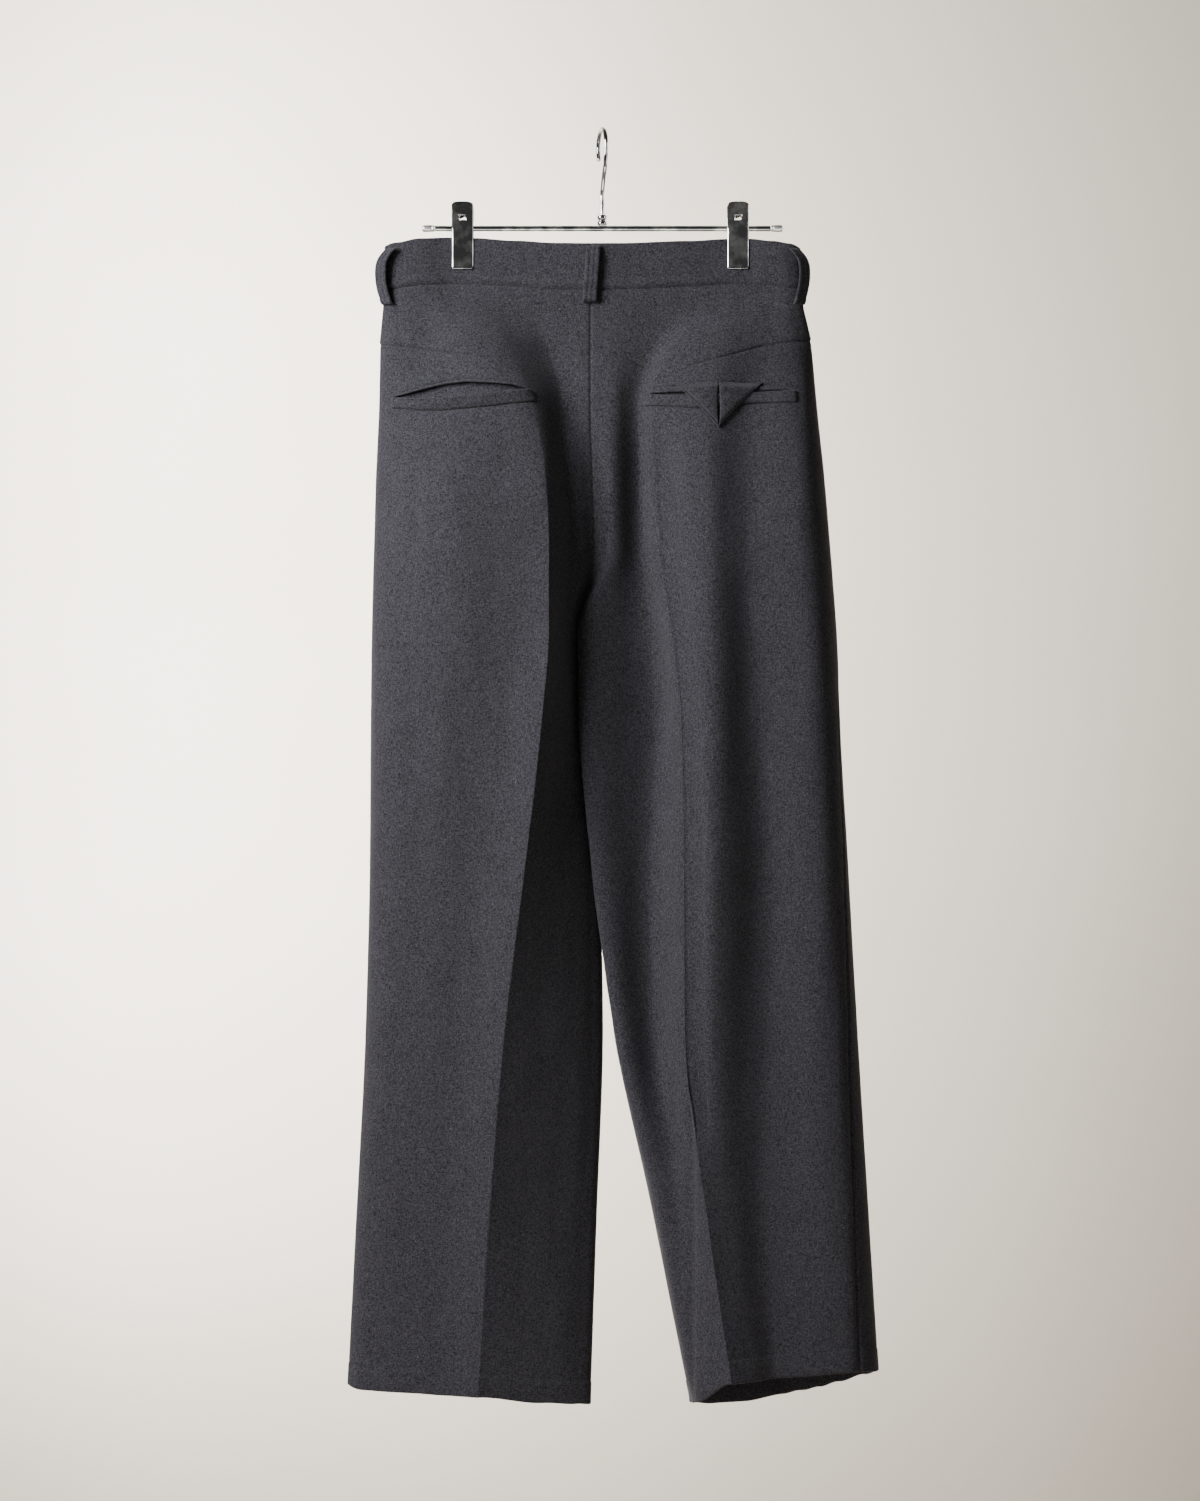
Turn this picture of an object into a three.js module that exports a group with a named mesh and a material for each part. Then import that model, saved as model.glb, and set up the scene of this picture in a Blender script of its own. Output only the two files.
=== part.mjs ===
import * as THREE from 'three';

// Pleated wide-leg trousers in charcoal wool, seen from the back, on a metal clip hanger.
// Millimetres. X runs across, -Y is the back of the garment, +Z is up.
// The origin is the inside top of the hook, the point the hanger hangs from.

// Cloth
const CLOTH = 1.8;
const WAISTBAND_CLOTH = 2.6;
const TRIM_CLOTH = 1.6;
const SEAM_GAP = 0.3;
const TRIM_LIFT = 0.8;
const HALF_GAP = SEAM_GAP / 2;

// Grid of a leg panel: rows from waist to hem, and columns between two neighbouring fold lines
const PANEL_ROWS = 27;
const ROW_EASE = 1.2;
const BACK_SPLIT = 3;
const FRONT_SPLIT = 2;
const WAISTBAND_ROWS = 2;

// Heights at which each fold line is measured: the waistband's top edge, the waist seam, the yoke
// seam, the back pockets, the seat, the fork above the crotch, the crotch, thigh, knee, shin,
// calf and hem
const LEVELS = [-105, -150, -205, -260, -330, -400, -480, -560, -700, -860, -1040, -1215];
const FORK_Z = LEVELS[5];
const CROTCH_Z = LEVELS[6];

// Fold lines of the back panels, from the centre seam or inseam out to the side fold.
// x is across and depth is how far the line stands back towards -Y, both at each of LEVELS.
// top, seam and hem are the heights of the waistband's top edge, the waist seam and the hem there.
const LEFT_BACK = [
  { line: 'centre', sharp: 0, top: -108, seam: -152.8, hem: -1221.6,
    x: [-11, -11, -11, -11, -9, -7, -20, -14.5, -3, 1, -5, -11],
    depth: [8, 8, 10, 14, 18, 15, 0, 0, 0, 0, 0, 0] },
  { line: 'inner', sharp: 0, top: -107.6, seam: -152.5, hem: -1219.6,
    x: [-45, -48, -33, -27, -21, -18, -26, -23, -13, -11, -18, -24],
    depth: [7, 7, 7, 12, 23, 24, 14, 14, 14, 13, 12, 11] },
  { line: 'valley', sharp: 0.2, top: -105.3, seam: -149.5, hem: -1216.5,
    x: [-83, -83, -55, -40, -35, -31, -34, -30, -29, -36, -51, -56],
    depth: [5, 5, 6, 14, 32, 38, 36, 36, 36, 34, 29, 24] },
  { line: 'crease', sharp: 0.6, top: -102.5, seam: -147.2, hem: -1208.3,
    x: [-124, -124, -92, -67, -54, -50, -50, -56, -72, -92, -107, -118],
    depth: [3.6, 4, 16, 34, 50, 60, 67, 70, 68, 61, 51, 41] },
  { line: 'ridge', sharp: 0, top: -102, seam: -147, hem: -1208.2,
    x: [-145, -145, -126, -101, -92, -85, -80, -88, -111, -130, -140, -149],
    depth: [3.6, 4, 24, 42, 54, 60, 58, 56, 50, 44, 38, 31] },
  { line: 'dip', sharp: 0, top: -103.2, seam: -148.5, hem: -1206.8,
    x: [-174, -174, -164, -154, -154, -153, -144, -154, -163, -173, -178, -183],
    depth: [7, 7, 20, 34, 50, 56, 54, 48, 41, 36, 31, 26] },
  { line: 'outer', sharp: 0, top: -107, seam: -151.5, hem: -1205.3,
    x: [-197, -197, -201, -201, -203, -204, -206, -208, -209, -213, -223, -231],
    depth: [6, 7, 13, 19, 24, 27, 28, 28, 27, 24, 20, 16] },
  { line: 'side', sharp: 0, top: -110, seam: -152.5, hem: -1202.4,
    x: [-208.5, -209.5, -213, -214, -217, -219, -221, -222, -223, -227, -236, -245],
    depth: [0, 0, 0, 0, 0, 0, 0, 0, 0, 0, 0, 0] },
];
const RIGHT_BACK = [
  { line: 'centre', sharp: 0, top: -108, seam: -152.8, hem: -1219.7,
    x: [-11, -11, -11, -11, -9, -7, -20, -12.5, 0, 13, 49, 84],
    depth: [8, 8, 10, 15, 18, 15, 0, 0, 0, 0, 0, 0] },
  { line: 'inner', sharp: 0, top: -107.8, seam: -152.6, hem: -1217,
    x: [17, 17, 15, 12, 11, 12, -19, -19, -7.5, 16, 55, 84],
    depth: [7, 7, 11, 17, 22, 21, 22, 20, 20, 18, 18, 16] },
  { line: 'valley', sharp: 0.2, top: -105.5, seam: -149.5, hem: -1213.8,
    x: [84, 84, 51, 34, 35, 37, 45, 50, 46, 51, 76, 88],
    depth: [5, 5, 8, 8, 7, 8, 14, 18, 22, 25, 34, 32] },
  { line: 'crease', sharp: 0.6, top: -103.4, seam: -147.4, hem: -1193,
    x: [121, 121, 71, 48, 50, 55, 65, 74, 77, 78, 100, 126],
    depth: [3.6, 4, 18, 22, 24, 28, 38, 43, 46, 49, 55, 58] },
  { line: 'ridge', sharp: 0, top: -103.2, seam: -147, hem: -1192.3,
    x: [141, 141, 114, 99, 98, 99, 102, 104, 107, 108, 124, 147],
    depth: [3.6, 4, 26, 38, 50, 56, 62, 62, 60, 54, 47, 47] },
  { line: 'dip', sharp: 0, top: -105.6, seam: -148.6, hem: -1190.8,
    x: [163, 163, 155, 141, 138, 139, 143, 146, 155, 156, 158, 167],
    depth: [6, 6, 20, 30, 40, 46, 50, 50, 47, 42, 36, 36] },
  { line: 'outer', sharp: 0, top: -108, seam: -151, hem: -1186,
    x: [180, 180, 186, 191, 194, 199, 205, 209, 214, 221, 232, 244],
    depth: [6, 7, 16, 28, 42, 48, 50, 49, 46, 42, 37, 30] },
  { line: 'side', sharp: 0, top: -112, seam: -152, hem: -1189,
    x: [190.5, 191.5, 201, 206, 213, 219, 225, 228, 236, 245, 256, 267],
    depth: [0, 0, 0, 0, 0, 0, 0, 0, 0, 0, 0, 0] },
];

// Fold lines of the front panels, from the side fold in to the centre seam or inseam.
// share is how far across the leg the line lies, 0 at the centre and 1 at the side, so that both
// legs use one table. Two tucks on each side start under the waistband. The first runs into the
// pressed front crease, and the second fades out over the thigh.
const FRONT = [
  { line: 'outer', sharp: 0, hem: { left: -1207, right: -1196 },
    share: [0.94, 0.94, 0.94, 0.94, 0.94, 0.94, 0.94, 0.94, 0.94, 0.94, 0.94, 0.94],
    depth: [6, 7, 13, 19, 25, 29, 30, 30, 29, 27, 23, 19] },
  { line: 'pocket', sharp: 0, hem: { left: -1210, right: -1205 },
    share: [0.81, 0.81, 0.80, 0.80, 0.80, 0.80, 0.80, 0.80, 0.80, 0.80, 0.80, 0.80],
    depth: [3.6, 4, 12, 22, 34, 42, 44, 44, 42, 39, 34, 30] },
  { line: 'second tuck', sharp: 0.5, hem: { left: -1213, right: -1211 },
    share: [0.64, 0.62, 0.61, 0.61, 0.62, 0.64, 0.66, 0.68, 0.70, 0.70, 0.70, 0.70],
    depth: [3.6, 4, 18, 30, 43, 50, 52, 52, 50, 46, 40, 36] },
  { line: 'under second tuck', sharp: 0.3, hem: { left: -1214, right: -1215.5 },
    share: [0.55, 0.56, 0.55, 0.54, 0.54, 0.55, 0.57, 0.59, 0.61, 0.61, 0.61, 0.61],
    depth: [3.6, 3.9, 10, 20, 35, 45, 50, 53, 53, 50, 46, 42] },
  { line: 'first tuck', sharp: 0.6, hem: { left: -1215, right: -1221 },
    share: [0.40, 0.40, 0.40, 0.40, 0.42, 0.44, 0.46, 0.48, 0.50, 0.50, 0.50, 0.50],
    depth: [4.6, 8, 20, 32, 44, 52, 58, 62, 63, 60, 56, 52] },
  { line: 'under first tuck', sharp: 0.3, hem: { left: -1216, right: -1224 },
    share: [0.31, 0.33, 0.32, 0.31, 0.31, 0.31, 0.31, 0.31, 0.31, 0.31, 0.31, 0.31],
    depth: [5, 4.6, 10, 19, 30, 37, 38, 38, 38, 37, 34, 31] },
  { line: 'fly', sharp: 0, hem: { left: -1219, right: -1223 },
    share: [0.15, 0.15, 0.15, 0.15, 0.14, 0.13, 0.12, 0.12, 0.12, 0.12, 0.12, 0.12],
    depth: [6.5, 6.5, 10, 15, 21, 24, 18, 16, 15, 15, 14, 13] },
  { line: 'centre', sharp: 0, hem: { left: -1221.6, right: -1219.7 },
    share: [0, 0, 0, 0, 0, 0, 0, 0, 0, 0, 0, 0],
    depth: [7, 7, 9, 12, 15, 12, 0, 0, 0, 0, 0, 0] },
];

// Back pocket welts: x along each welt, with the heights of its top and bottom edges and how far
// its top edge stands off the cloth there. The left pocket gapes, the right one lies closed.
const WELTS = {
  left: [
    { x: -196, top: -257, bottom: -266.5, gape: 0 },
    { x: -172, top: -260, bottom: -269.6, gape: 2.5 },
    { x: -148, top: -260, bottom: -270, gape: 5 },
    { x: -128, top: -257.5, bottom: -268, gape: 6 },
    { x: -108, top: -255, bottom: -266, gape: 5 },
    { x: -88, top: -252.5, bottom: -263.5, gape: 2.5 },
    { x: -66, top: -250, bottom: -261.5, gape: 0 },
  ],
  right: [
    { x: 43, top: -254, bottom: -265, gape: 0 },
    { x: 78, top: -256, bottom: -267, gape: 0 },
    { x: 112, top: -256, bottom: -267, gape: 0 },
    { x: 146, top: -254, bottom: -265, gape: 0 },
    { x: 182, top: -251, bottom: -262.5, gape: 0 },
  ],
};
const WELT_COLUMN = 5;

// Pointed tab over the right back pocket: two folded halves with a slit between them
const TAB = {
  top: -248.5, point: -287, left: 70, right: 152, slit: 109, slitHalf: 1.7, stand: 2.2, rows: 5,
};

// Belt loops
const LOOP = { width: 13.5, thickness: 2, top: -112, bottom: -165, stand: 6, sideStand: 8.5 };
const CENTRE_LOOP_LEAN = 3.8;
const FRONT_LOOP_X = 86;

// Fly strip, side pocket edges and waist button on the front
const FLY = { top: -158, bottom: -322, inset: 1.6, width: 34 };
const SIDE_POCKET = {
  top: -160, bottom: -300, topShare: 0.84, bottomShare: 0.92, width: 9, stand: 0.3, rows: 12,
};
const BUTTON = { x: -27, z: -130, radius: 8.5, thickness: 3, sides: 20 };

// Hanger
const BAR = { z: -93.2, radius: 2.65, from: -161, to: 161.9, sides: 16 };
const CAP = { radius: 3.4, length: 11.5 };
const FERRULE = { x: 0, radius: 4.6, top: -80.2, chamfer: 0.8 };
const HOOK = { wire: 2, insideRadius: 15, neckZ: -60, turn: 13, tipAngle: -35, sides: 10, steps: 44 };
const CLIPS = { left: -133.7, right: 130.4 };
const CLIP = { width: 20.6, holeWidth: 6.6, thickness: 1.2, holeTop: -81 };

// Side profile of one clip plate, from its finger end down to its lip: y is its inner face
const CLIP_PROFILE = [
  { z: -68.6, y: 9.4, narrow: 3.2 },
  { z: -70.4, y: 9, narrow: 1.2 },
  { z: -74, y: 8.2, narrow: 0.5 },
  { z: -81, y: 6.8, narrow: 0.2 },
  { z: -86, y: 5.8, narrow: 0 },
  { z: -93.2, y: 4.6, narrow: 0 },
  { z: -101, y: 4, narrow: 0 },
  { z: -120, y: 4.1, narrow: 0 },
  { z: -130.6, y: 4.2, narrow: 0 },
  { z: -132.6, y: 5, narrow: 0.4 },
];
const SPRING = { inner: 2.95, outer: 4.2, width: 11, opening: 70 };

const WOOL = { color: 0x3c3a3f, roughness: 0.95, metalness: 0 };
const WOOL_TRIM = { color: 0x343238, roughness: 0.95, metalness: 0 };
const CHROME = { color: 0xd8dade, roughness: 0.12, metalness: 1 };
const HORN = { color: 0x26242a, roughness: 0.45, metalness: 0 };

// Smooth curve through values at the falling heights of LEVELS, with no overshoot
function atHeight(values, z) {
  const last = LEVELS.length - 1;
  const held = Math.min(LEVELS[0], Math.max(LEVELS[last], z));
  let i = 0;
  while (i < last - 1 && held < LEVELS[i + 1]) i += 1;
  const slope = (k) => (values[k + 1] - values[k]) / (LEVELS[k + 1] - LEVELS[k]);
  const tangent = (k) => {
    if (k === 0) return slope(0);
    if (k === last) return slope(last - 1);
    const before = slope(k - 1);
    const after = slope(k);
    return before * after <= 0 ? 0 : (2 * before * after) / (before + after);
  };
  const span = LEVELS[i + 1] - LEVELS[i];
  const t = (held - LEVELS[i]) / span;
  const ease = t * t * (3 - 2 * t);
  const start = tangent(i) * span * t * (1 - t) * (1 - t);
  const end = tangent(i + 1) * span * t * t * (t - 1);
  return values[i] + (values[i + 1] - values[i]) * ease + start + end;
}

function smoothStep(from, to, value) {
  const t = Math.min(1, Math.max(0, (value - from) / (to - from)));
  return t * t * (3 - 2 * t);
}

// The fold lines of one side as a single run: back centre, side fold, front centre
function foldLines(side) {
  const back = side === 'left' ? LEFT_BACK : RIGHT_BACK;
  const centre = back[0];
  const fold = back[back.length - 1];
  const lines = back.map((row) => ({
    sharp: row.sharp,
    top: row.top,
    seam: row.seam,
    hem: row.hem,
    point: (z) => new THREE.Vector2(atHeight(row.x, z), -atHeight(row.depth, z)),
  }));
  FRONT.forEach((row) => {
    const share = row.share[0];
    lines.push({
      sharp: row.sharp,
      top: centre.top + (fold.top - centre.top) * share + edgeRise(share),
      seam: centre.seam + (fold.seam - centre.seam) * share + edgeRise(share),
      hem: row.hem[side],
      point: (z) => {
        const from = atHeight(centre.x, z);
        const to = atHeight(fold.x, z);
        return new THREE.Vector2(from + (to - from) * atHeight(row.share, z), atHeight(row.depth, z));
      },
    });
  });
  return lines;
}

// The front edge rises under the clip, two thirds of the way out to the side
function edgeRise(share) {
  return 5.5 * Math.exp(-(((share - 0.66) / 0.2) ** 2));
}

const SIDES = {
  left: { out: -1, lines: foldLines('left') },
  right: { out: 1, lines: foldLines('right') },
};
const SIDE_LINE = LEFT_BACK.length - 1;

// Pressed creases. Each leg panel is two solids that meet there, so that both bend round the leg.
const BACK_CREASE = 3;
const FRONT_CREASE = 12;

// Places along the run of fold lines where the cloth has a column of points
function columnPlaces(fromLine, toLine) {
  const places = [];
  for (let line = fromLine; line < toLine; line += 1) {
    const split = line < SIDE_LINE ? BACK_SPLIT : FRONT_SPLIT;
    for (let step = 0; step < split; step += 1) places.push(line + step / split);
  }
  places.push(toLine);
  return places;
}

// Direction of the cloth's run at a fold line, before or after it
function direction(side, line, z, after) {
  const { out, lines } = SIDES[side];
  const last = lines.length - 1;
  const joined = smoothStep(CROTCH_Z, FORK_Z, z);
  if (line === 0) return new THREE.Vector2(out * joined, joined - 1).normalize();
  if (line === last) return new THREE.Vector2(-out * joined, joined - 1).normalize();
  const here = lines[line].point(z);
  const before = lines[line - 1].point(z);
  const next = lines[line + 1].point(z);
  if (line === SIDE_LINE) return new THREE.Vector2(0, 1);
  const smooth = next.clone().sub(before).normalize();
  const straight = after ? next.clone().sub(here) : here.clone().sub(before);
  return smooth.lerp(straight.normalize(), lines[line].sharp).normalize();
}

// Point of the outer face at a place along the run, at one height
function sectionPoint(side, place, z) {
  const { lines } = SIDES[side];
  const line = Math.min(lines.length - 2, Math.floor(place));
  const t = place - line;
  const from = lines[line].point(z);
  const to = lines[line + 1].point(z);
  const reach = from.distanceTo(to);
  const leave = direction(side, line, z, true).multiplyScalar(reach);
  const arrive = direction(side, line + 1, z, false).multiplyScalar(reach);
  const ease = t * t * (3 - 2 * t);
  return from.clone().lerp(to, ease)
    .add(leave.multiplyScalar(t * (1 - t) * (1 - t)))
    .add(arrive.multiplyScalar(t * t * (t - 1)));
}

// Value of one of the edge heights (top, seam or hem) at a place along the run
function edgeHeight(side, place, edge) {
  const { lines } = SIDES[side];
  const line = Math.min(lines.length - 2, Math.floor(place));
  const t = place - line;
  const from = lines[line][edge];
  return from + (lines[line + 1][edge] - from) * t * t * (3 - 2 * t);
}

// Keeps back cloth behind the side seam's plane and front cloth before it
function keepToFace(point, place) {
  const y = place < SIDE_LINE ? Math.min(point.y, -HALF_GAP) : Math.max(point.y, HALF_GAP);
  return new THREE.Vector3(point.x, y, point.z);
}

// Direction straight across a crease, for the edges of the two solids that meet there
function directionAcross(side, line, z) {
  return direction(side, line, z, false).add(direction(side, line, z, true)).normalize();
}

// Outer and inner points of one row of cloth, with the row's height at each place from heightAt
function clothRow(side, places, heightAt, thickness) {
  const { out, lines } = SIDES[side];
  const last = lines.length - 1;
  const outline = places.map((place) => sectionPoint(side, place, heightAt(place)));
  const outer = [];
  const inner = [];
  places.forEach((place, i) => {
    const onLine = place === 0 || place === SIDE_LINE || place === last;
    const first = i === 0;
    const onCrease = (first || i === places.length - 1) && (place === BACK_CREASE || place === FRONT_CREASE);
    const before = outline[Math.max(0, i - 1)];
    const next = outline[Math.min(places.length - 1, i + 1)];
    let along = next.clone().sub(before).normalize();
    if (onLine) along = direction(side, place, heightAt(place), true);
    if (onCrease) along = directionAcross(side, place, heightAt(place));
    const shift = new THREE.Vector2(place === 0 || place === last ? out * HALF_GAP : 0, 0);
    if (onCrease) shift.copy(along).multiplyScalar(first ? HALF_GAP : -HALF_GAP);
    const face = new THREE.Vector3(outline[i].x + shift.x, outline[i].y + shift.y, heightAt(place));
    const inward = new THREE.Vector3(-out * along.y, out * along.x, 0);
    outer.push(face);
    inner.push(face.clone().addScaledVector(inward, thickness));
  });
  return { outer, inner };
}

// Closed solid between two grids of points of the same size. holes lists the cells left open.
function wall(outer, inner, holes = []) {
  const rows = outer.length;
  const columns = outer[0].length;
  const positions = [];
  [outer, inner].flat(2).forEach((point) => positions.push(point.x, point.y, point.z));
  const index = (layer, row, column) => (layer * rows + row) * columns + column;
  const triangles = [];
  const quad = (a, b, c, d) => triangles.push(a, b, c, a, c, d);
  const open = new Set(holes.map(([row, column]) => `${row},${column}`));
  const filled = (row, column) => row >= 0 && column >= 0 && row < rows - 1 && column < columns - 1
    && !open.has(`${row},${column}`);
  for (let r = 0; r < rows - 1; r += 1) {
    for (let c = 0; c < columns - 1; c += 1) {
      if (filled(r, c)) {
        const corners = [[r, c], [r, c + 1], [r + 1, c + 1], [r + 1, c]];
        quad(...corners.map(([row, column]) => index(0, row, column)));
        quad(...corners.reverse().map(([row, column]) => index(1, row, column)));
        const sides = [
          [[r, c], [r, c + 1], filled(r - 1, c)],
          [[r, c + 1], [r + 1, c + 1], filled(r, c + 1)],
          [[r + 1, c + 1], [r + 1, c], filled(r + 1, c)],
          [[r + 1, c], [r, c], filled(r, c - 1)],
        ];
        sides.filter(([, , joined]) => !joined).forEach(([from, to]) => {
          quad(index(0, ...to), index(0, ...from), index(1, ...from), index(1, ...to));
        });
      }
    }
  }
  if (signedVolume(positions, triangles) < 0) triangles.reverse();
  const geometry = new THREE.BufferGeometry();
  geometry.setAttribute('position', new THREE.Float32BufferAttribute(positions, 3));
  geometry.setIndex(triangles);
  geometry.computeVertexNormals();
  return geometry;
}

function signedVolume(positions, triangles) {
  const corner = (i) => new THREE.Vector3(...positions.slice(3 * i, 3 * i + 3));
  let volume = 0;
  for (let i = 0; i < triangles.length; i += 3) {
    const [a, b, c] = [0, 1, 2].map((k) => corner(triangles[i + k]));
    volume += a.dot(b.cross(c)) / 6;
  }
  return volume;
}

const group = new THREE.Group();

function addPiece(name, geometry, look) {
  const mesh = new THREE.Mesh(geometry, new THREE.MeshStandardMaterial(look));
  mesh.name = name;
  group.add(mesh);
  return mesh;
}

// A leg panel from the waist seam to the hem, between two of the fold lines
function legPanel(side, fromLine, toLine) {
  const places = columnPlaces(fromLine, toLine);
  const isBack = toLine <= SIDE_LINE;
  const outer = [];
  const inner = [];
  for (let row = 0; row <= PANEL_ROWS; row += 1) {
    const down = (row / PANEL_ROWS) ** ROW_EASE;
    const heightAt = (place) => {
      const seam = edgeHeight(side, place, 'seam') - HALF_GAP;
      return seam + (edgeHeight(side, place, 'hem') - seam) * down;
    };
    const points = clothRow(side, places, heightAt, CLOTH);
    const keep = (point) => keepToFace(point, isBack ? 0 : SIDE_LINE);
    outer.push(points.outer.map(keep));
    inner.push(points.inner.map(keep));
  }
  return wall(outer, inner);
}

// One half of the waistband, from the centre back round the side fold to the centre front
function waistband(side) {
  const lastLine = SIDES[side].lines.length - 1;
  const places = columnPlaces(0, lastLine);
  const outer = [];
  const inner = [];
  for (let row = 0; row <= WAISTBAND_ROWS; row += 1) {
    const down = row / WAISTBAND_ROWS;
    const heightAt = (place) => {
      const top = edgeHeight(side, place, 'top');
      return top + (edgeHeight(side, place, 'seam') + HALF_GAP - top) * down;
    };
    const points = clothRow(side, places, heightAt, WAISTBAND_CLOTH);
    const keep = (point, i) => (places[i] === SIDE_LINE ? point : keepToFace(point, places[i]));
    outer.push(points.outer.map(keep));
    inner.push(points.inner.map(keep));
  }
  return wall(outer, inner);
}

// Outline of the back or the front at one height, as points running from the centre to the side
function outline(side, face, z) {
  const lastLine = SIDES[side].lines.length - 1;
  const places = face === 'back'
    ? columnPlaces(0, SIDE_LINE)
    : columnPlaces(SIDE_LINE, lastLine).reverse();
  return places.map((place) => sectionPoint(side, place, z));
}

// Outer face of the garment at x and z, moved out by lift
function onCloth(face, x, z, lift) {
  const side = x < atHeight(LEFT_BACK[0].x, z) ? 'left' : 'right';
  const points = outline(side, face, z);
  const { out } = SIDES[side];
  let i = 0;
  while (i < points.length - 2 && (x - points[i + 1].x) * out > 0) i += 1;
  const [from, to] = [points[i], points[i + 1]];
  const share = Math.min(1, Math.max(0, (x - from.x) / (to.x - from.x)));
  const outward = face === 'back' ? -1 : 1;
  return new THREE.Vector3(x, from.y + (to.y - from.y) * share + outward * lift, z);
}

// A flat trim lying on the cloth. rows holds lists of { x, z, stand } across the trim.
function trim(face, rows, thickness) {
  const layer = (lift) => rows.map((row) => (
    row.map(({ x, z, stand = 0 }) => onCloth(face, x, z, lift + stand))));
  return wall(layer(TRIM_LIFT + thickness), layer(TRIM_LIFT));
}

// A value read from a table of rows at x, in a straight line between the two nearest rows
function readAt(table, x, name) {
  let i = 0;
  while (i < table.length - 2 && x > table[i + 1].x) i += 1;
  const [from, to] = [table[i], table[i + 1]];
  return from[name] + ((to[name] - from[name]) * (x - from.x)) / (to.x - from.x);
}

function pocketWelt(side) {
  const table = WELTS[side];
  const from = table[0].x;
  const to = table[table.length - 1].x;
  const columns = Math.ceil((to - from) / WELT_COLUMN);
  const rows = [0, 0.5, 1].map((down) => {
    const row = [];
    for (let column = 0; column <= columns; column += 1) {
      const x = from + ((to - from) * column) / columns;
      const top = readAt(table, x, 'top');
      const z = top + (readAt(table, x, 'bottom') - top) * down;
      row.push({ x, z, stand: readAt(table, x, 'gape') * (1 - down) });
    }
    return row;
  });
  return trim('back', rows, TRIM_CLOTH);
}

// Half of the pointed tab, from the slit out to its slanted edge
function tabHalf(out) {
  const slitX = TAB.slit + out * TAB.slitHalf;
  const edgeX = out < 0 ? TAB.left : TAB.right;
  const rows = [];
  for (let row = 0; row <= TAB.rows; row += 1) {
    const down = (row / TAB.rows) * 0.94;
    const reach = (edgeX - slitX) * (1 - down);
    const z = TAB.top + (TAB.point - TAB.top) * down;
    rows.push([0, 0.25, 0.5, 0.75, 1].map((share) => ({ x: slitX + reach * share, z, stand: TAB.stand })));
  }
  return trim('back', rows, TRIM_CLOTH);
}

// A belt loop: a flat strip that starts on the cloth, stands off it and comes back. pathPoint
// gives a point of the strip's inner face, and across is the direction of its width.
function beltLoop(pathPoints, across, outward) {
  const strip = (lift) => pathPoints.map((point) => [-0.5, 0.5].map((share) => (
    point.clone().addScaledVector(across, share * LOOP.width).addScaledVector(outward, lift))));
  return wall(strip(LOOP.thickness), strip(0));
}

// Steps down a belt loop: share of its height, and share of its greatest stand
const LOOP_STEPS = [
  { down: 0, stand: 0 },
  { down: 0.06, stand: 0.55 },
  { down: 0.16, stand: 0.92 },
  { down: 0.5, stand: 1 },
  { down: 0.82, stand: 0.9 },
  { down: 0.93, stand: 0.5 },
  { down: 1, stand: 0 },
];

function faceLoop(face, x, lean) {
  const outward = new THREE.Vector3(0, face === 'back' ? -1 : 1, 0);
  const points = LOOP_STEPS.map(({ down, stand }) => {
    const z = LOOP.top + (LOOP.bottom - LOOP.top) * down;
    const at = x - lean * (down - 0.5);
    const edge = [-0.5, 0, 0.5].map((share) => onCloth(face, at + share * LOOP.width, z, TRIM_LIFT));
    const clear = Math.max(...edge.map((point) => point.y * outward.y)) * outward.y;
    return new THREE.Vector3(at, clear, z).addScaledVector(outward, stand * LOOP.stand);
  });
  return beltLoop(points, new THREE.Vector3(1, 0, 0), outward);
}

function sideLoop(side) {
  const { out, lines } = SIDES[side];
  const outward = new THREE.Vector3(out, 0, 0);
  const points = LOOP_STEPS.map(({ down, stand }) => {
    const z = LOOP.top - 2 + (LOOP.bottom - LOOP.top) * down;
    const foldX = lines[SIDE_LINE].point(z).x;
    return new THREE.Vector3(foldX + out * (TRIM_LIFT + stand * LOOP.sideStand), -2, z);
  });
  return beltLoop(points, new THREE.Vector3(0, 1, 0), outward);
}

function flyStrip() {
  const columns = [0, 0.2, 0.4, 0.6, 0.8, 1];
  const rows = [];
  for (let row = 0; row <= 10; row += 1) {
    const down = row / 10;
    const z = FLY.top + (FLY.bottom - FLY.top) * down;
    const from = atHeight(LEFT_BACK[0].x, z) - FLY.inset;
    const width = FLY.width * (1 - 0.85 * down ** 6);
    rows.push(columns.map((share) => ({ x: from - width * share, z })));
  }
  return trim('front', rows, TRIM_CLOTH);
}

function sidePocketEdge(side) {
  const { out, lines } = SIDES[side];
  const rows = [];
  for (let row = 0; row <= SIDE_POCKET.rows; row += 1) {
    const down = row / SIDE_POCKET.rows;
    const z = SIDE_POCKET.top + (SIDE_POCKET.bottom - SIDE_POCKET.top) * down;
    const centreX = lines[0].point(z).x;
    const reach = lines[SIDE_LINE].point(z).x - centreX;
    const share = SIDE_POCKET.topShare + (SIDE_POCKET.bottomShare - SIDE_POCKET.topShare) * down;
    const from = centreX + reach * share;
    rows.push([0, 0.33, 0.67, 1].map((across) => (
      { x: from - out * SIDE_POCKET.width * across, z, stand: SIDE_POCKET.stand })));
  }
  return trim('front', rows, TRIM_CLOTH);
}

function waistButton() {
  const { radius, thickness, sides, x, z } = BUTTON;
  const face = [-1, 0, 1].map((share) => onCloth('front', x + share * radius, z, TRIM_LIFT).y);
  const geometry = new THREE.CylinderGeometry(radius, radius, thickness, sides);
  geometry.translate(x, Math.max(...face) + thickness / 2, z);
  return geometry;
}

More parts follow.
